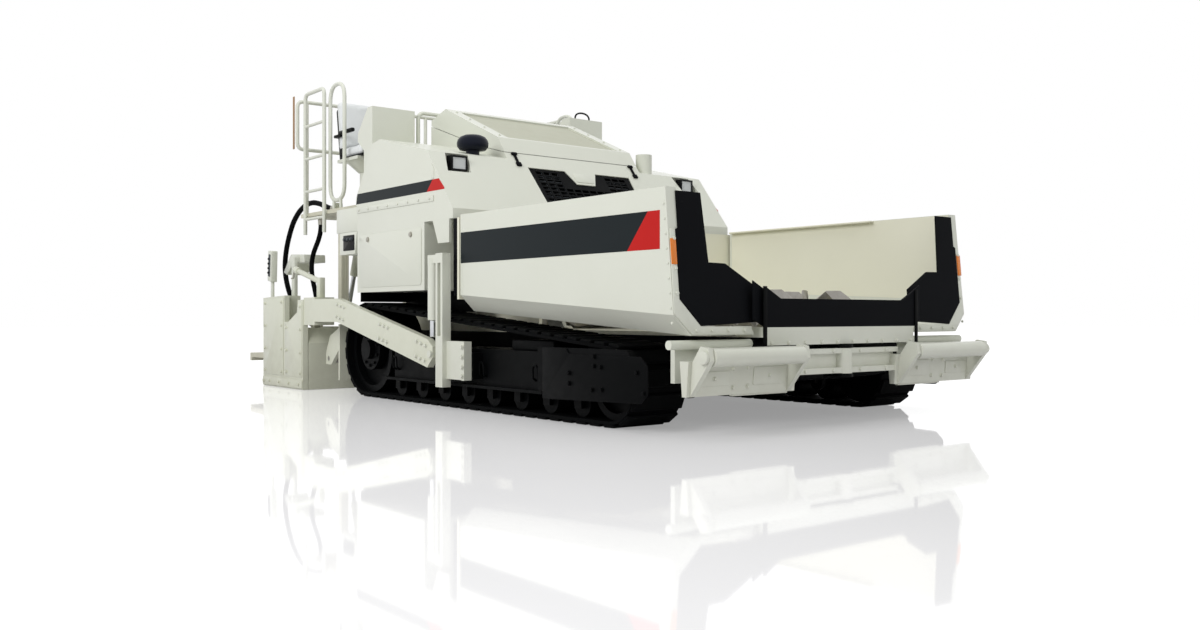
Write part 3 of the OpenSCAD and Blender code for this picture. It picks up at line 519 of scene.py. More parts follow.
def boss(place, out, radius, length, edge=0.003, corners=28, taper=1.0):
    # a turned boss standing on a face
    clearSelection()
    bpy.ops.mesh.primitive_cone_add(vertices=corners, radius1=radius, radius2=radius * taper, depth=length,
                                    location=(0, 0, length / 2))
    made = bpy.context.object
    bpy.ops.object.transform_apply(location=True, rotation=False, scale=False)
    soften(made, edge)
    made.data.transform(Matrix.Translation(place) @ facing(out))
    return made


# hydraulic hoses from the deck to the screed on the right, in stations and heights
hoses = dict(
    long=dict(y=1.370, radius=0.028, top=1.80, low=0.85, route=[
        (5.300, 1.879), (5.420, 1.881), (5.560, 1.912), (5.700, 1.950), (5.840, 1.975), (5.950, 1.980),
        (6.060, 1.970), (6.160, 1.945), (6.260, 1.905), (6.350, 1.850), (6.430, 1.785), (6.500, 1.700),
        (6.560, 1.610), (6.610, 1.510), (6.640, 1.410), (6.650, 1.310), (6.630, 1.210), (6.590, 1.120),
        (6.530, 1.030), (6.450, 0.945), (6.350, 0.870), (6.230, 0.800), (6.110, 0.740), (5.990, 0.695),
        (5.880, 0.670), (5.800, 0.668)]),
    short=dict(y=1.440, radius=0.025, top=1.72, low=0.75, route=[
        (5.530, 1.810), (5.530, 1.720), (5.545, 1.640), (5.590, 1.565), (5.650, 1.500), (5.710, 1.435),
        (5.750, 1.360), (5.765, 1.280), (5.755, 1.200), (5.725, 1.120), (5.685, 1.040), (5.650, 0.955),
        (5.630, 0.870), (5.620, 0.785), (5.620, 0.710), (5.620, 0.640)]))
# nut and sleeve of a hose's end: start along it, wall over it, length, corners and taper
hoseFittings = [(0.001, 0.011, 0.024, 6, 1.0), (0.022, 0.008, 0.075, 28, 0.9)]
hoseGland = ((5.240, 1.330, 1.8495), (5.300, 1.410, 1.925), 0.006)
hoseBlock = ((5.720, 1.330, 0.6395), (5.800, 1.410, 0.715), 0.006)


def eased(points, steps=3):
    # more points on a smooth line through the given ones
    line = []
    for k in range(len(points) - 1):
        a, b, c, d = (points[min(max(k + j, 0), len(points) - 1)] for j in (-1, 0, 1, 2))
        for i in range(steps):
            t = i / steps
            spot = 2 * b + (c - a) * t + (2 * a - 5 * b + 4 * c - d) * t ** 2
            spot += (3 * b - a - 3 * c + d) * t ** 3
            line.append(0.5 * spot)
    return line + [points[-1]]


for kind, h in hoses.items():
    line = eased(sideOutline(h["route"], -1, h["y"]))
    tube = bentTube(f"{kind}Hose_right", line, h["radius"], hoseRubber, sides=4)
    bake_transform(tube)
    length = sum((b - a).length for a, b in zip(line, line[1:]))
    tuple(line[0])
    print("hose", kind, round(length, 3))
    for end, near, body in ((0, 1, "machine"), (-1, -2, "screed")):
        way = (line[near] - line[end]).normalized()
        fittings = [boss(line[end] + way * start, way, h["radius"] + wall, long, corners=corners, taper=taper)
                    for start, wall, long, corners, taper in hoseFittings]
        settle(joined(fittings), f"hoseEnd_{kind}_right_{body}", zincSteel, body)
settle(sideSlab(-1, *hoseGland), "hoseGland_right", creamEnamel)
settle(sideSlab(-1, *hoseBlock), "hoseBlock_right", screedEnamel, "screed")
print("hoses laid")

# hopper wings: side stripe with its red wedge, front clamp bar, rivets and reflectors
vinyl = dict(y=1.600, thick=0.0012)
stripeBand = [(2.474, 1.193), (0.375, 1.193), (0.165, 1.442), (2.474, 1.442)]
stripeWedge = [(0.375, 1.193), (0.050, 1.193), (0.050, 1.442), (0.165, 1.442)]
clamp = dict(thick=0.008, lift=0.0005, edge=0.003)
clampOutline = [(1.546, 0.684), (1.591, 0.684), (1.599, 0.140), (1.452, 0.004), (0.905, 0.004),
                (0.905, 0.058), (1.372, 0.058), (1.546, 0.232)]
clampBolts = [(1.566, 0.62), (1.566, 0.43), (1.566, 0.27), (0.98, 0.031), (1.13, 0.031), (1.28, 0.031),
              (1.42, 0.031)]
rivets = dict(count=9, back=0.024, lean=0.09, low=0.72, step=0.095)
reflector = dict(y=1.574, z=1.174, wide=0.046, tall=0.165, thick=0.008)
wingFoot = (-0.09, 0.64)
wingLean = math.atan2(0.09, 0.95)
frontAlong = (math.sin(wingLean), math.cos(wingLean))
frontOut = Vector((math.cos(wingLean), 0, math.sin(wingLean)))


def vinylStrip(name, corners, side, material, body="machine"):
    strip = cutPlate(sideOutline(corners, side, vinyl["y"]), (0, side * vinyl["thick"], 0))
    settle(strip, name, material, body)


for word, side in sides:
    body = f"wing_{word}_body"
    onFront = leaningFace(wingFoot, frontAlong, frontOut, side)
    vinylStrip(f"sideStripe_{word}", stripeBand, side, charcoalVinyl, body)
    vinylStrip(f"redWedge_{word}", stripeWedge, side, redVinyl, body)
    bar = plateOn(onFront, clampOutline, frontOut * clamp["thick"], clamp["lift"], clamp["edge"])
    settle(bar, f"flapClamp_{word}", creamEnamel, body)
    spots = [(onFront(y, s, clamp["thick"]), frontOut) for y, s in clampBolts]
    boltSet(f"clampBolts_{word}", spots, 0.022, 0.012, body)
    spots = []
    for k in range(rivets["count"]):
        d = rivets["back"] - rivets["lean"] * (1 - k / rivets["count"])
        spots.append((at(d, side * vinyl["y"], rivets["low"] + k * rivets["step"]), (0, side, 0)))
    boltSet(f"edgeRivets_{word}", spots, 0.014, 0.006, body)
    r = reflector
    half = r["wide"] / 2
    low = (r["z"] - wingFoot[1]) / math.cos(wingLean) - r["tall"] / 2
    lens = plateOn(onFront, square(r["y"] - half, r["y"] + half, low, low + r["tall"]),
                   frontOut * r["thick"], clamp["thick"], clamp["edge"])
    settle(lens, f"reflector_{word}", amberLens, body)
print("hopper dressed")

# hopper seals and apron trim
wingSeal = ((2.505, 1.562, 0.93), (2.597, 1.598, 1.566), 0.006)
apronEdge = ((-0.159, 0.825, 0.565), (-0.151, 0.861, 0.965), 0.002)
apronBolts = dict(d=-0.150, z=0.582, step=0.172, count=10)
for word, side in sides:
    settle(sideSlab(side, *wingSeal), f"wingSeal_{word}", flapRubber)
    settle(sideSlab(side, *apronEdge), f"apronEdge_{word}", blackEnamel)
b = apronBolts
offsets = [(k - (b["count"] - 1) / 2) * b["step"] for k in range(b["count"])]
boltSet("apronBolts", [(at(b["d"], y, b["z"]), (1, 0, 0)) for y in offsets], 0.024, 0.012)

# wing liners with a folded top edge, and the rubber gussets behind the apron's ends
liner = dict(y=1.5098, thick=0.0015)
linerOutline = [(0.030, 0.900), (0.004, 1.586), (2.450, 1.586), (2.450, 1.000)]
linerFold = ((0.740, 1.452, 1.574), (2.440, 1.512, 1.589), 0.005)
gusset = dict(front=-0.126, thick=0.010, edge=0.002)
gussetOutline = [(0.700, 0.6895), (0.815, 0.6895), (0.930, 0.745), (0.930, 1.003), (0.700, 0.886)]
for word, side in sides:
    skin = cutPlate(sideOutline(linerOutline, side, liner["y"]), (0, -side * liner["thick"], 0))
    fold = sideSlab(side, *linerFold)
    settle(joined([skin, fold]), f"wingLiner_{word}", hopperEnamel, f"wing_{word}_body")
    sheet = cutPlate([at(gusset["front"], side * y, z) for y, z in gussetOutline],
                     (-gusset["thick"], 0, 0), gusset["edge"])
    settle(sheet, f"apronGusset_{word}", flapRubber)

# push beam: cover panels with a bolt in each, wear strips, caps on the roller pins
beam = dict(face=-0.160, foot=0.256, lean=0.0893, plate=0.006, edge=0.002, corner=0.012)
beamFoot = (beam["face"] + beam["lean"] * beam["foot"], 0.0)
beamAlong = (-beam["lean"], 1.0)
beamOut = Vector((1, 0, -beam["lean"])).normalized()
beamPanels = [(1.20, 1.47, 0.318, 0.412), (0.665, 0.975, 0.312, 0.430)]
beamBolts = [(1.335, 0.366), (0.820, 0.372), (1.158, 0.302), (1.165, 0.425), (1.025, 0.430), (1.022, 0.306)]
beamShoe = ((-0.152, 0.62, 0.244), (-0.124, 1.15, 0.2565), 0.003)
pinCap = dict(d=-0.295, y=1.5375, z=0.507, radius=0.042, long=0.024)
for word, side in sides:
    onBeam = leaningFace(beamFoot, beamAlong, beamOut, side)
    panels = [plateOn(onBeam, square(*panel), beamOut * beam["plate"], film, beam["edge"], beam["corner"])
              for panel in beamPanels]
    settle(joined(panels), f"beamPanels_{word}", creamEnamel, "push_beam_body")
    lifts = [beam["plate"] if k < len(beamPanels) else 0.0 for k in range(len(beamBolts))]
    spots = [(onBeam(y, z, lift), beamOut) for (y, z), lift in zip(beamBolts, lifts)]
    boltSet(f"beamBolts_{word}", spots, 0.024, 0.014, "push_beam_body")
    p = pinCap
    cap = boss(at(p["d"], side * p["y"], p["z"]), (0, side, 0), p["radius"], p["long"])
    settle(joined([sideSlab(side, *beamShoe), cap]), f"beamShoe_{word}", creamEnamel, "push_beam_body")
spots = [(at(-0.165, y, z), (1, 0, 0)) for y in (-0.45, -0.15, 0.15, 0.45) for z in (0.38, 0.518)]
boltSet("beamMidBolts", spots, 0.022, 0.010, "push_beam_body")
print("front trimmed")

# rubber track: one band with raised pads, in place of the plain loop
track = dict(idler=(0.620, 0.290), drive=(4.260, 0.445), inner=1.100, outer=1.560, wall=0.0445, band=0.022,
             points=140, arc=48, pads=60, padLong=0.118, padSink=0.004, padGap=0.002, padEdge=0.007)


def trackLine(inset, count):
    # places and directions round the loop, evenly spaced, inset from its outer face
    (d1, r1), (d2, r2) = track["idler"], track["drive"]
    top = math.atan2(r2 - r1, d2 - d1) + math.acos((r1 - r2) / math.hypot(d2 - d1, r2 - r1))
    ends = [(d1, r1, math.radians(270), top), (d2, r2, top, math.radians(-90))]
    dense = []
    for d, r, a, b in ends:
        for k in range(track["arc"] + 1):
            turn = a + (b - a) * k / track["arc"]
            dense.append(Vector((d + (r - inset) * math.cos(turn), r + (r - inset) * math.sin(turn))))
    steps = [(dense[(k + 1) % len(dense)] - dense[k]).length for k in range(len(dense))]
    spots, k, gone = [], 0, 0.0
    for i in range(count):
        goal = sum(steps) * i / count
        while gone + steps[k] < goal:
            gone += steps[k]
            k += 1
        way = (dense[(k + 1) % len(dense)] - dense[k]).normalized()
        spots.append((dense[k] + way * (goal - gone), way))
    return spots


rise = track["wall"] - track["band"]
padHalf = (track["outer"] - track["inner"]) / 2
padMiddle = (track["inner"] + track["outer"]) / 2
padModel = slab((-track["padLong"] / 2, -padHalf, -track["padSink"]),
                (track["padLong"] / 2, padHalf, rise - track["padGap"]), track["padEdge"], 1)
loops = []
for word, side in sides:
    line = trackLine(rise + track["band"] / 2, track["points"])
    band = ring([at(spot[0], side * track["inner"], spot[1]) for spot, way in line])
    pull((0, side * 2 * padHalf, 0))
    shaped(band, "SOLIDIFY", thickness=track["band"], offset=0)
    loops.append(band)
    for spot, way in trackLine(rise, track["pads"]):
        along = Vector((-way[0], 0, way[1]))
        out = Vector((way[1], 0, way[0]))
        turn = Matrix((along, out.cross(along), out)).transposed().to_4x4()
        loops.append(copyOf(padModel, Matrix.Translation(at(spot[0], side * padMiddle, spot[1])) @ turn))
bpy.data.objects.remove(padModel)
trackLoops = settle(joined(loops), "trackLoops", trackRubber)
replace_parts(trackLoops, "track_belts")

# undercarriage: guard plates and bolts, lifting hooks, drive hub studs, tow post and tow arm bolts
guardOutline = [(0.130, 0.260), (0.130, 0.440), (0.200, 0.500), (0.970, 0.500), (1.010, 0.540),
                (1.290, 0.540), (1.290, 0.165), (0.200, 0.195)]
guard = dict(y=1.6252, thick=0.008, corner=0.014, edge=0.002, boltY=1.633)
guardRib = ((1.340, 1.165, 0.4995), (1.890, 1.495, 0.580), 0.012)
guardBolts = [(0.682, 0.489), (0.682, 0.424), (0.609, 0.420), (0.963, 0.366), (0.963, 0.292),
              (0.703, 0.259), (0.599, 0.265), (0.232, 0.397), (0.166, 0.264)]
hookSpots = (1.48, 2.22, 3.67)
hookRod = 0.009
hookLine = [(-0.030, 1.532, 0.280), (-0.030, 1.560, 0.300), (-0.030, 1.564, 0.370), (-0.015, 1.564, 0.395),
            (0.015, 1.564, 0.395), (0.030, 1.564, 0.370), (0.030, 1.560, 0.300), (0.030, 1.532, 0.280)]
hub = dict(y=1.510, studs=10, radius=0.150)
post = dict(d=2.292, y=1.695, heights=(0.518, 0.438, 0.357, 0.285))
arm = dict(y=1.710, along=0.075, up=0.0158, row=3, starts=(
    (2.850, 0.520), (2.865, 0.393), (3.52, 0.66), (3.54, 0.535), (4.40, 0.845), (4.42, 0.728)))
armBolts = [(d + k * arm["along"], z + k * arm["up"]) for d, z in arm["starts"] for k in range(arm["row"])]


def sideBolts(corners, side, y):
    return [(p, (0, side, 0)) for p in sideOutline(corners, side, y)]


for word, side in sides:
    plate = sidePanel(guardOutline, side, guard["y"], guard["thick"], guard["corner"], guard["edge"])
    settle(joined([plate, sideSlab(side, *guardRib)]), f"guardPlate_{word}", blackEnamel)
    boltSet(f"guardBolts_{word}", sideBolts(guardBolts, side, guard["boltY"]), 0.026, 0.016,
            material=blackEnamel)
    hooks = [bentTube("hook", [at(d + a, side * y, z) for a, y, z in hookLine], hookRod, blackEnamel)
             for d in hookSpots]
    settle(joined(hooks), f"frameHooks_{word}", blackEnamel)
    d, z = track["drive"]
    turns = [(k + 0.5) * 2 * math.pi / hub["studs"] for k in range(hub["studs"])]
    studs = [(d + hub["radius"] * math.cos(a), z + hub["radius"] * math.sin(a)) for a in turns]
    boltSet(f"hubStuds_{word}", sideBolts(studs, side, hub["y"]), 0.026, 0.016, material=blackEnamel)
    column = [(post["d"], z) for z in post["heights"]]
    boltSet(f"postBolts_{word}", sideBolts(column, side, post["y"]), 0.030, 0.018)
    boltSet(f"armBolts_{word}", sideBolts(armBolts, side, arm["y"]), 0.026, 0.016, "screed")
print("undercarriage trimmed")

# end gates: wear shoe, two cover plates and their bolts
gate = dict(y=1.660, plate=0.006, shoe=0.012)
gateFront = [(5.500, 0.130), (5.500, 0.905), (5.592, 0.905), (5.612, 0.785), (5.850, 0.682), (5.935, 0.682),
             (5.935, 0.130)]
gateRear = [(5.985, 0.130), (5.985, 0.955), (6.525, 0.938), (6.525, 0.130)]
gateShoe = square(5.485, 6.540, 0.012, 0.100)
shoeBolts = [(d, 0.056) for d in (5.56, 5.82, 6.08, 6.34, 6.50)]
gateColumns = {5.535: (0.86, 0.62, 0.38, 0.17), 5.895: (0.64, 0.40, 0.17), 6.025: (0.91, 0.66, 0.41, 0.17),
               6.485: (0.90, 0.66, 0.41, 0.17)}
gateBolts = [(d, z) for d, heights in gateColumns.items() for z in heights]
for word, side in sides:
    body = f"extension_{word}_body"
    plates = [sidePanel(gateFront, side, gate["y"], gate["plate"], 0.010),
              sidePanel(gateRear, side, gate["y"], gate["plate"], 0.015),
              sidePanel(gateShoe, side, gate["y"], gate["shoe"], 0.010)]
    settle(joined(plates), f"gatePlates_{word}", screedEnamel, body)
    spots = sideBolts(shoeBolts, side, gate["y"] + gate["shoe"])
    spots += sideBolts(gateBolts, side, gate["y"] + gate["plate"])
    boltSet(f"gateBolts_{word}", spots, 0.024, 0.014, body, screedEnamel)

# screed tops: lift-off covers with bent handles
coverRuns = ((0.06, 0.50), (0.56, 1.00), (1.20, 1.31))
cover = dict(front=5.585, rear=5.835, low=0.6405, top=0.652, gripD=5.71, gripRod=0.006)
gripLine = [(-0.06, -0.002), (-0.06, 0.030), (-0.045, 0.042), (0.045, 0.042), (0.06, 0.030), (0.06, -0.002)]
extensionRuns = ((0.10, 0.68), (0.76, 1.38))
extensionCover = dict(front=6.02, rear=6.31, low=0.5605, top=0.570)


def coverSlabs(side, size, runs):
    return joined([sideSlab(side, (size["front"], a, size["low"]), (size["rear"], b, size["top"]))
                   for a, b in runs])


for word, side in sides:
    settle(coverSlabs(side, cover, coverRuns), f"screedCovers_{word}", screedEnamel, "screed")
    grips = []
    for y in (0.28, 0.78):
        line = [at(cover["gripD"], side * (y + a), cover["top"] + up) for a, up in gripLine]
        grips.append(bentTube("grip", line, cover["gripRod"], zincSteel))
    settle(joined(grips), f"coverGrips_{word}", zincSteel, "screed")
    settle(coverSlabs(side, extensionCover, extensionRuns), f"extensionCovers_{word}", screedEnamel,
           f"extension_{word}_body")
print("screed trimmed")

# control stands: sloping panel with knobs, hand control face, depth screw with its crank
standTop = (6.320, 1.440)
standAlong = Vector((0.20, -0.19)).normalized()
standOut = Vector((-0.19, 0, 0.20)).normalized()
standBox = [(5.950, 1.340), (5.960, 1.425), (6.320, 1.440), (6.520, 1.250), (6.430, 1.215), (6.260, 1.340)]
pendantBox = [(6.335, 1.130), (6.315, 1.470), (6.415, 1.480), (6.435, 1.150)]
standBrackets = [((6.080, 1.460, 0.974), (6.160, 1.500, 1.400), 0.005),
                 ((6.080, 1.436, 1.345), (6.160, 1.464, 1.400), 0.004),
                 ((6.355, 1.610, 0.962), (6.405, 1.635, 1.200), 0.004)]
standPanel = dict(area=square(1.220, 1.420, 0.025, 0.250), thick=0.005, edge=0.0015, corner=0.012)
standKnobs = [(y, v) for y in (1.255, 1.320, 1.385) for v in (0.075, 0.150, 0.210)]
pendantFace = [(6.359, 1.190), (6.342, 1.432), (6.392, 1.438), (6.409, 1.199)]
pendantButtons = [(6.396 - 0.073 * (z - 1.20), z) for z in (1.235, 1.285, 1.335, 1.385)]
screwY = 1.545
screwWay = (-0.974, 0, 0.225)
screwFoot = ((5.260, 1.515, 0.9495), (5.340, 1.575, 1.155), 0.006)
screwTubes = [(5.300, 1.110, 0.028, 0.650), (5.846, 1.236, 0.038, 0.090)]
crankLine = [(5.915, 1.252), (5.975, 1.266), (5.988, 1.255), (5.990, 1.180), (5.998, 1.168), (6.045, 1.166)]
crankRod = 0.009
for word, side in sides:
    body = f"extension_{word}_body"
    onStand = leaningFace(standTop, standAlong, standOut, side)
    parts = [sidePanel(standBox, side, 1.200, 0.240, 0.012, 0.006),
             sidePanel(pendantBox, side, 1.590, 0.070, 0.014, 0.005)]
    parts += [sideSlab(side, *bracket) for bracket in standBrackets]
    settle(joined(parts), f"controlStand_{word}", creamEnamel, body)
    screw = [sideSlab(side, *screwFoot)]
    screw += [boss(at(d, side * screwY, z), screwWay, radius, long) for d, z, radius, long in screwTubes]
    settle(joined(screw), f"depthScrew_{word}", screedEnamel, "screed")
    s = standPanel
    panel = plateOn(onStand, s["area"], standOut * s["thick"], film, s["edge"], s["corner"])
    settle(panel, f"standPanel_{word}", greyAbs, body)
    spots = [(onStand(y, v, s["thick"]), standOut) for y, v in standKnobs]
    boltSet(f"standKnobs_{word}", spots, 0.026, 0.024, body, blackAbs, corners=16)
    settle(sidePanel(pendantFace, side, 1.6602, 0.004, 0.006), f"pendantFace_{word}", greyAbs, body)
    boltSet(f"pendantButtons_{word}", sideBolts(pendantButtons, side, 1.6642), 0.020, 0.010, body, blackAbs,
            corners=14)
    bentTube(f"depthCrank_{word}", sideOutline(crankLine, side, screwY), crankRod, zincSteel, "screed")
print("controls fitted")

# cowl and tank sides: stripe with its red tip, hinge strip, panel seam, tank door
cowlBand = [(4.376, 1.823), (3.030, 1.823), (2.930, 1.920), (4.350, 1.920)]
cowlRed = [(3.030, 1.823), (2.735, 1.823), (2.735, 1.835), (2.825, 1.920), (2.930, 1.920)]
cowlHinge = square(4.350, 2.910, 1.736, 1.786)
cowlSeam = [(2.905, 1.926), (2.945, 1.926), (2.945, 2.060), (2.905, 2.010)]
cowlBolts = [(2.97 + k * 0.19, 1.761) for k in range(8)]
tankDoor = square(4.300, 3.120, 1.030, 1.525)
doorLatches = [(3.30, 1.475), (4.12, 1.475)]
skinY = 1.6002  # just proud of the flat sides
for word, side in sides:
    vinylStrip(f"cowlStripe_{word}", cowlBand, side, charcoalVinyl)
    vinylStrip(f"cowlRedTip_{word}", cowlRed, side, redVinyl)
    strips = [sidePanel(cowlHinge, side, skinY, 0.008, 0.006), sidePanel(cowlSeam, side, skinY, 0.005, 0.004)]
    settle(joined(strips), f"cowlStrips_{word}", creamEnamel)
    boltSet(f"cowlBolts_{word}", sideBolts(cowlBolts, side, skinY + 0.008), 0.018, 0.009)
    settle(sidePanel(tankDoor, side, skinY, 0.006, 0.030, 0.003), f"tankDoor_{word}", creamEnamel)
    boltSet(f"doorLatches_{word}", sideBolts(doorLatches, side, skinY + 0.006), 0.036, 0.012,
            material=zincSteel, corners=20)

# below the tanks: inner plates in black enamel that close the view over the track, partly the body that lies
# there and partly painted shade of that shadowed gap; chrome levelling rod
shadeGapPlates = [((3.090, 1.085, 0.800), (4.348, 1.073, 0.9855), 0.003),
               ((3.090, 1.185, 0.9735), (4.348, 1.073, 0.9855), 0.003),
               ((4.336, 1.083, 0.897), (4.348, 1.570, 0.9855), 0.003)]
levelRod = dict(d=2.790, y=1.675, z=0.592, radius=0.0262, long=0.137)
for word, side in sides:
    # black plates: painted shade of the gap over the track
    plates = [sideSlab(side, *plate) for plate in shadeGapPlates]
    settle(joined(plates), f"shadeGapPlate_{word}", blackEnamel)
    r = levelRod
    rod = boss(at(r["d"], side * r["y"], r["z"]), (0, 0, 1), r["radius"], r["long"])
    settle(rod, f"levelRod_{word}", hardChrome)

# cowl front: grille backing and wires, blank badge plate, rubber hood latches
faceTilt = math.atan2(0.79, 1.0)
faceOut = Vector((math.cos(faceTilt), 0, math.sin(faceTilt)))
onFace = leaningFace((2.6632, 1.735), (math.sin(faceTilt), math.cos(faceTilt)), faceOut)
grille = dict(wide=0.572, low=0.014, high=0.466, deep=-0.052, back=0.004, uprights=13, rows=8, wire=0.003,
              lift=-0.0185, notch=0.19, under=0.31, sideGap=0.02, endGap=0.01)
badge = dict(area=square(-0.105, 0.105, 0.345, 0.455), thick=0.004, edge=0.0012, corner=0.02)
latchY = 0.69
# strap, foot and pull of a latch: half width, low and high end, lift, thickness, edge and corner
latchParts = [(0.014, 0.505, 0.630, 0.002, 0.010, 0.003, 0.006),
              (0.026, 0.480, 0.525, film, 0.016, 0.003, 0.008),
              (0.030, 0.617, 0.647, 0.0005, 0.018, 0.004, 0.010)]
g = grille
back = plateOn(onFace, square(-g["wide"], g["wide"], g["low"], g["high"]), faceOut * g["back"], g["deep"])
settle(back, "grilleBacking", blackAbs)
wires = []
for k in range(g["uprights"]):
    y = -g["wide"] + g["sideGap"] + k * 2 * (g["wide"] - g["sideGap"]) / (g["uprights"] - 1)
    top = g["high"] if abs(y) > g["notch"] else g["under"]
    wires.append(square(y, y + g["wire"], g["low"], top))
for k in range(g["rows"]):
    v = g["low"] + g["endGap"] + k * (g["high"] - g["low"] - 2 * g["endGap"]) / (g["rows"] - 1)
    runs = [(-g["wide"], g["wide"])]
    if v >= g["under"]:
        runs = [(-g["wide"], -g["notch"]), (g["notch"], g["wide"])]
    wires += [square(y0, y1, v, v + g["wire"]) for y0, y1 in runs]
wires = [plateOn(onFace, wire, faceOut * g["wire"], g["lift"]) for wire in wires]
settle(joined(wires), "grilleWires", greyAbs)
badgePlate = plateOn(onFace, badge["area"], faceOut * badge["thick"], film, badge["edge"], badge["corner"])
settle(badgePlate, "badgePlate", creamEnamel)
latches = []
for y in (-latchY, latchY):
    for half, low, high, lift, thick, edge, corner in latchParts:
        area = square(y - half, y + half, low, high)
        latches.append(plateOn(onFace, area, faceOut * thick, lift, edge, corner))
settle(joined(latches), "hoodLatches", flapRubber)

# air pre-cleaner: a full moulded dome on its stub, in place of the plain one
dome = dict(d=3.160, y=-1.060, z=2.130, turns=40, weld=0.0002)
domeLine = [(0.0, 0.0), (0.060, 0.0), (0.060, 0.112), (0.118, 0.118), (0.139, 0.146), (0.142, 0.176),
            (0.134, 0.206), (0.112, 0.232), (0.076, 0.248), (0.036, 0.2515), (0.0, 0.252)]
bowl = ring([(r, 0, up) for r, up in domeLine])
shaped(bowl, "SCREW", steps=dome["turns"], render_steps=dome["turns"], use_merge_vertices=True)
bpy.ops.object.mode_set(mode="EDIT")
bpy.ops.mesh.select_all(action="SELECT")
bpy.ops.mesh.remove_doubles(threshold=dome["weld"])
bpy.ops.mesh.normals_make_consistent(inside=False)
bpy.ops.object.mode_set(mode="OBJECT")
bowl.data.transform(Matrix.Translation(at(dome["d"], dome["y"], dome["z"])))
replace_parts(settle(bowl, "airBowl", navyAbs, smooth=50), "air_precleaner")

# hood lid: screen in the sunk panel, its cream darkened as painted shade of the recess, bolts along both
# edges
lid = dict(nose=(3.170, 2.396), crown=(4.100, 2.790), low=0.036, high=0.924, half=0.654, deep=-0.0195,
           thick=0.004, boltY=0.72)
lidTilt = math.atan2(lid["crown"][1] - lid["nose"][1], lid["crown"][0] - lid["nose"][0])
lidOut = Vector((math.sin(lidTilt), 0, math.cos(lidTilt)))
onLid = leaningFace(lid["nose"], (math.cos(lidTilt), math.sin(lidTilt)), lidOut)
screen = plateOn(onLid, square(-lid["half"], lid["half"], lid["low"], lid["high"]), lidOut * lid["thick"],
                 lid["deep"])
settle(screen, "lidScreen", sunkPanelShadeEnamel, "hood")
spots = [(onLid(y, v), lidOut) for y in (-lid["boltY"], lid["boltY"]) for v in (0.08, 0.36, 0.64, 0.90)]
boltSet("lidBolts", spots, 0.018, 0.009, "hood")
print("cowl dressed")

# consoles: sloping panels with gauges, knobs and levers, grab arch on the left one
consoles = dict(right=dict(start=(4.500, 2.790), run=(0.21, -0.23)),
                left=dict(start=(4.540, 2.950), run=(0.17, -0.31)))
console = dict(y0=0.985, y1=1.395, low=0.015, high=0.235, thick=0.006, edge=0.002, corner=0.015,
               gaugeStep=0.085, gaugeRow=0.062, knobStep=0.048, knobRows=(0.130, 0.175))
lever = dict(step=0.06, row=0.212, lift=0.004, rod=0.006, bends=((0, 0), (-0.010, 0.07), (-0.025, 0.12)),
             knob=(-0.024, 0, 0.112))
leverKnob = ((-0.2, 0, 1), 0.016, 0.046, 0.008, 16, 1.15)  # way, radius, length, edge, corners, taper
arch = dict(d=4.470, y=1.09, half=0.10, z=2.948, tall=0.085, swell=0.6, rod=0.010)
for word, side in sides:
    c = console
    run = consoles[word]["run"]
    out = Vector((run[1], 0, run[0])).normalized()
    onConsole = leaningFace(consoles[word]["start"], Vector(run).normalized(), out, side)
    mid = (c["y0"] + c["y1"]) / 2
    panel = plateOn(onConsole, square(c["y0"], c["y1"], c["low"], c["high"]), out * c["thick"], film,
                    c["edge"], c["corner"])
    settle(panel, f"consolePanel_{word}", greyAbs)
    top = c["thick"] + film
    spots = [(onConsole(mid + k * c["gaugeStep"], c["gaugeRow"], top), out) for k in (-1, 0, 1)]
    boltSet(f"gauges_{word}", spots, 0.050, 0.014, material=blackAbs, corners=24)
    spots = [(onConsole(mid + k * c["knobStep"], v, top), out) for k in range(-2, 3) for v in c["knobRows"]]
    boltSet(f"consoleKnobs_{word}", spots, 0.020, 0.018, material=blackAbs, corners=14)
    sticks = []
    for k in (-1, 1):
        foot = onConsole(mid + k * lever["step"], lever["row"], lever["lift"])
        line = [foot + Vector((ahead, 0, up)) for ahead, up in lever["bends"]]
        sticks.append(bentTube("stick", line, lever["rod"], blackAbs))
        sticks.append(boss(foot + Vector(lever["knob"]), *leverKnob))
    settle(joined(sticks), f"levers_{word}", blackAbs)
line = []
for turn in range(0, 181, 15):
    a = math.radians(turn)
    y = arch["y"] + arch["half"] * (1 - math.cos(a))
    line.append(at(arch["d"], y, arch["z"] + arch["tall"] * math.sin(a) ** arch["swell"]))
bentTube("grabArch", line, arch["rod"], blackAbs, "machine")

# rear fascia on both sides, with the ground control box, its dark panel and knobs on the right
fascia = [((4.363, 1.575, 1.570), (4.810, 1.600, 1.800), 0.005),
          ((4.405, 1.395, 1.575), (4.565, 1.580, 1.795), 0.005)]
controlBox = [(4.364, 1.569), (4.740, 1.569), (4.740, 1.355), (4.410, 1.355)]
boxFace = [(4.410, 1.392), (4.415, 1.540), (4.650, 1.540), (4.650, 1.392)]
boxKnobs = [(d, 1.500) for d in (4.46, 4.53, 4.60)]
for word, side in sides:
    skin = [sideSlab(side, *part) for part in fascia]
    if word == "right":
        skin.append(sidePanel(controlBox, 1, -1.600, 0.200, 0.008, 0.004))
    settle(joined(skin), f"rearFascia_{word}", creamEnamel)
settle(sidePanel(boxFace, -1, skinY, 0.005, 0.010), "boxPanel", blackAbs)
boltSet("boxKnobs", sideBolts(boxKnobs, -1, skinY + 0.005), 0.028, 0.020, material=greyAbs, corners=16)

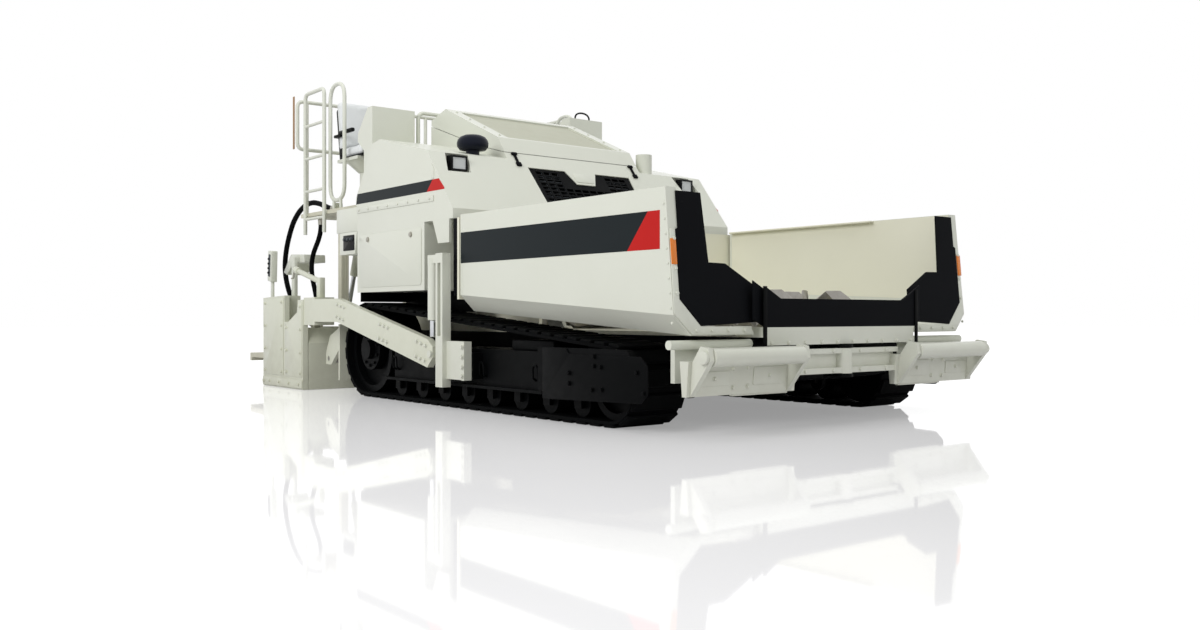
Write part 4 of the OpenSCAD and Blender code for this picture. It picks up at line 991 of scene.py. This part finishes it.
# ladders and rails: bent tube with rounded corners, in place of the straight ones
tubes = dict(rail=0.020, rung=0.016, bend=0.070, floor=1.849, railY=1.440)
ladderY = 1.508
ladderLegs = [(5.300, 1.620), (5.300, 3.100), (5.770, 3.100), (5.770, 1.620)]
ladderRungs = [[(5.305, z), (5.765, z)] for z in (1.780, 2.070, 2.415, 2.760)]
ladderLugs = [((d - 0.015, 1.4795, 1.815), (d + 0.015, ladderY, 1.845), 0.003) for d in (5.300, 5.770)]
grabLoop = square(4.970, 5.300, 1.940, 3.120)
grabBend = 0.165 * 0.98  # just short of a half circle at each end
grabStubs = [[(d, tubes["floor"]), (d, 1.970)] for d in (5.055, 5.215)]
rearD = 5.890
rearLoop = square(-1.545, 1.545, 2.540, 3.050)
rearPosts = [[(y, tubes["floor"]), (y, 3.050)] for y in (-tubes["railY"], 0, tubes["railY"])]
dashD = 4.440
dashHoop = [(-0.900, tubes["floor"]), (-0.900, 2.790), (0.900, 2.790), (0.900, tubes["floor"])]
tapeArea = ((5.906, 1.5745, 2.54), (5.944, 1.5670, 3.10), 0.002)


def roundBend(points, radius, closed=False, steps=6):
    # the points of a tube's run with each inner corner swept round
    line = []
    for k, corner in enumerate(points):
        if not closed and k in (0, len(points) - 1):
            line.append(Vector(corner))
            continue
        before, after = points[k - 1], points[(k + 1) % len(points)]
        a = (Vector(before) - Vector(corner)).normalized() * radius
        b = (Vector(after) - Vector(corner)).normalized() * radius
        line += [Vector(corner) + a * (1 - i / steps) ** 2 + b * (i / steps) ** 2 for i in range(steps + 1)]
    return line


def railTube(points, radius=tubes["rail"], closed=False):
    return bentTube("rail", points, radius, creamEnamel, None, closed, 4)


runs = []
for word, side in sides:
    runs.append(railTube(roundBend(sideOutline(ladderLegs, side, ladderY), tubes["bend"])))
    runs += [railTube(sideOutline(rung, side, ladderY), tubes["rung"]) for rung in ladderRungs]
    runs += [sideSlab(side, *lug) for lug in ladderLugs]
boarding = settle(joined(runs), "boardingLadders", creamEnamel, smooth=50)
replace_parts(boarding, "ladders")
runs = []
for word, side in sides:
    loop = roundBend(sideOutline(grabLoop, side, tubes["railY"]), grabBend, True)
    runs.append(railTube(loop, closed=True))
    runs += [railTube(sideOutline(stub, side, tubes["railY"]), tubes["rung"]) for stub in grabStubs]
loop = roundBend([at(rearD, y, z) for y, z in rearLoop], tubes["bend"], True)
runs.append(railTube(loop, closed=True))
runs += [railTube([at(rearD, y, z) for y, z in ends]) for ends in rearPosts]
runs.append(railTube(roundBend([at(dashD, y, z) for y, z in dashHoop], tubes["bend"])))
deckRails = settle(joined(runs), "deckRails", creamEnamel, smooth=50)
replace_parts(deckRails, "guard_rails")
settle(sideSlab(-1, *tapeArea), "railTape", tanStrip)

# seats: two sewn vinyl pads each, swollen by pressure, on a black shell with armrests
seat = dict(d=5.000, y=1.175, z=2.360, pressure=4.0, gravity=0.0, cap=0.014, voxel=0.012, frames=20)
padShapes = dict(
    cushion=dict(size=(0.420, 0.420, 0.082), place=(-0.060, 0.066), lean=0, edge=0.030),
    back=dict(size=(0.095, 0.420, 0.520), place=(0.232, 0.355), lean=7, edge=0.036))
shellPan = ((-0.285, -0.200, 0.0005), (0.170, 0.200, 0.022), 0.008)
shellSpine = [(0.150, 0.002), (0.245, 0.002), (0.325, 0.520), (0.285, 0.540)]
spine = dict(half=0.190, corner=0.02, edge=0.008)
armrest = ((-0.130, 0.196, 0.250), (0.190, 0.240, 0.290), 0.016, 4)
armrestFoot = ((0.150, 0.160, 0.232), (0.300, 0.232, 0.262), 0.008)


def swollenPad(shape):
    clearSelection()
    bpy.ops.mesh.primitive_cube_add(size=1)
    form = bpy.context.object
    form.scale = shape["size"]
    bpy.ops.object.transform_apply(location=False, rotation=False, scale=True)
    soften(form, shape["edge"], 5, 30)
    shaped(form, "REMESH", mode="VOXEL", voxel_size=seat["voxel"])
    before = [v.co.copy() for v in form.data.vertices]
    swell = form.modifiers.new("swell", "CLOTH")
    swell.settings.use_pressure = True
    swell.settings.uniform_pressure_force = seat["pressure"]
    swell.settings.effector_weights.gravity = seat["gravity"]
    swell.point_cache.frame_start = 1
    swell.point_cache.frame_end = seat["frames"]
    for k in range(1, seat["frames"] + 1):
        bpy.context.scene.frame_set(k)
    bpy.ops.object.modifier_apply(modifier="swell")
    bpy.context.scene.frame_set(1)
    for v, start in zip(form.data.vertices, before):
        move = v.co - start
        if move.length > seat["cap"]:
            v.co = start + move.normalized() * seat["cap"]
    shaped(form, "SUBSURF", levels=1, render_levels=1)
    return form


def seatSlab(y, k, low, high, edge, segments=2):
    # a block of the shell: corners from the seat's own place, k picks the side of the seat
    ends = [at(seat["d"] + d, y + k * a, seat["z"] + z) for d, a, z in (low, high)]
    return slab(*ends, edge, segments)


for part, shape in padShapes.items():
    model = swollenPad(shape)
    back, up = shape["place"]
    turn = Matrix.Rotation(math.radians(-shape["lean"]), 4, "Y")
    for word, side in sides:
        place = at(seat["d"] + back, side * seat["y"], seat["z"] + up)
        copy = copyOf(model, Matrix.Translation(place) @ turn)
        pad = settle(copy, f"{part}Pad_{word}", whiteVinyl, smooth=60)
        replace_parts(pad, "seats")
    bpy.data.objects.remove(model)
for word, side in sides:
    y = side * seat["y"]
    corners = [(seat["d"] + d, seat["z"] + z) for d, z in shellSpine]
    shell = [seatSlab(y, 1, *shellPan),
             sidePanel(corners, 1, y - spine["half"], 2 * spine["half"], spine["corner"], spine["edge"])]
    for k in (-1, 1):
        shell += [seatSlab(y, k, *armrest), seatSlab(y, k, *armrestFoot)]
    settle(joined(shell), f"seatShell_{word}", blackAbs)
print("seats padded")

# studio: pale seamless floor, broad soft light
studio = dict(floor=120, drop=-0.002, floorColour=(0.80, 0.79, 0.81, 1), floorGloss=0.04, floorGlow=0.30,
              ambient=(0.98, 1.0, 0.97, 1), ambientPower=0.42, white=(1, 1, 1, 1))
bpy.ops.mesh.primitive_plane_add(size=studio["floor"], location=(0, 0, studio["drop"]))
floor = bpy.context.object
floor.name = "studioFloor"
floorPaint, tree = newMaterial("studioFloorPaint")
path = addNode(tree, "ShaderNodeLightPath").outputs
inputs = {"Base Color": studio["floorColour"], "Roughness": studio["floorGloss"], "IOR": 1.45}
matt = addNode(tree, "ShaderNodeBsdfPrincipled", inputs).outputs[0]
inputs = {"Color": studio["white"], "Strength": studio["floorGlow"]}
glow = addNode(tree, "ShaderNodeEmission", inputs).outputs[0]
lifted = addNode(tree, "ShaderNodeAddShader", {0: matt, 1: glow}).outputs[0]
close(tree, addNode(tree, "ShaderNodeMixShader", {0: path["Is Camera Ray"], 1: matt, 2: lifted}))
floor.data.materials.append(floorPaint)

world = bpy.data.worlds.new("studio")
bpy.context.scene.world = world
world.use_nodes = True
tree = world.node_tree
tree.nodes.clear()
path = addNode(tree, "ShaderNodeLightPath").outputs
clear = maths(tree, "MAXIMUM", path["Is Glossy Ray"], path["Is Transmission Ray"])
seen = maths(tree, "MAXIMUM", path["Is Camera Ray"], clear)
inputs = {"Color": studio["ambient"], "Strength": studio["ambientPower"]}
ambient = addNode(tree, "ShaderNodeBackground", inputs).outputs[0]
white = addNode(tree, "ShaderNodeBackground", {"Color": studio["white"], "Strength": 1.0}).outputs[0]
sky = addNode(tree, "ShaderNodeMixShader", {0: seen, 1: ambient, 2: white})
addNode(tree, "ShaderNodeOutputWorld", {"Surface": sky.outputs[0]})


def softLamp(name, place, target, size, power):
    bpy.ops.object.light_add(type="AREA", location=place)
    lamp = bpy.context.object
    lamp.name = name
    lamp.data.size = size
    lamp.data.energy = power
    lamp.visible_glossy = False  # no lamp squares mirrored in the floor
    aim = Vector(target) - Vector(place)
    lamp.rotation_euler = aim.to_track_quat("-Z", "Y").to_euler()


softLamp("keyLamp", (3.0, -12.0, 7.5), (0, 0, 1.2), 6.0, 800)
softLamp("frontLamp", (13.0, 1.0, 6.0), (1.5, 0, 1.0), 6.0, 210)
softLamp("skyLamp", (0.0, 0.0, 11.0), (0, 0, 0), 9.0, 330)
bpy.context.scene.view_settings.view_transform = "Standard"
print("studio lit")
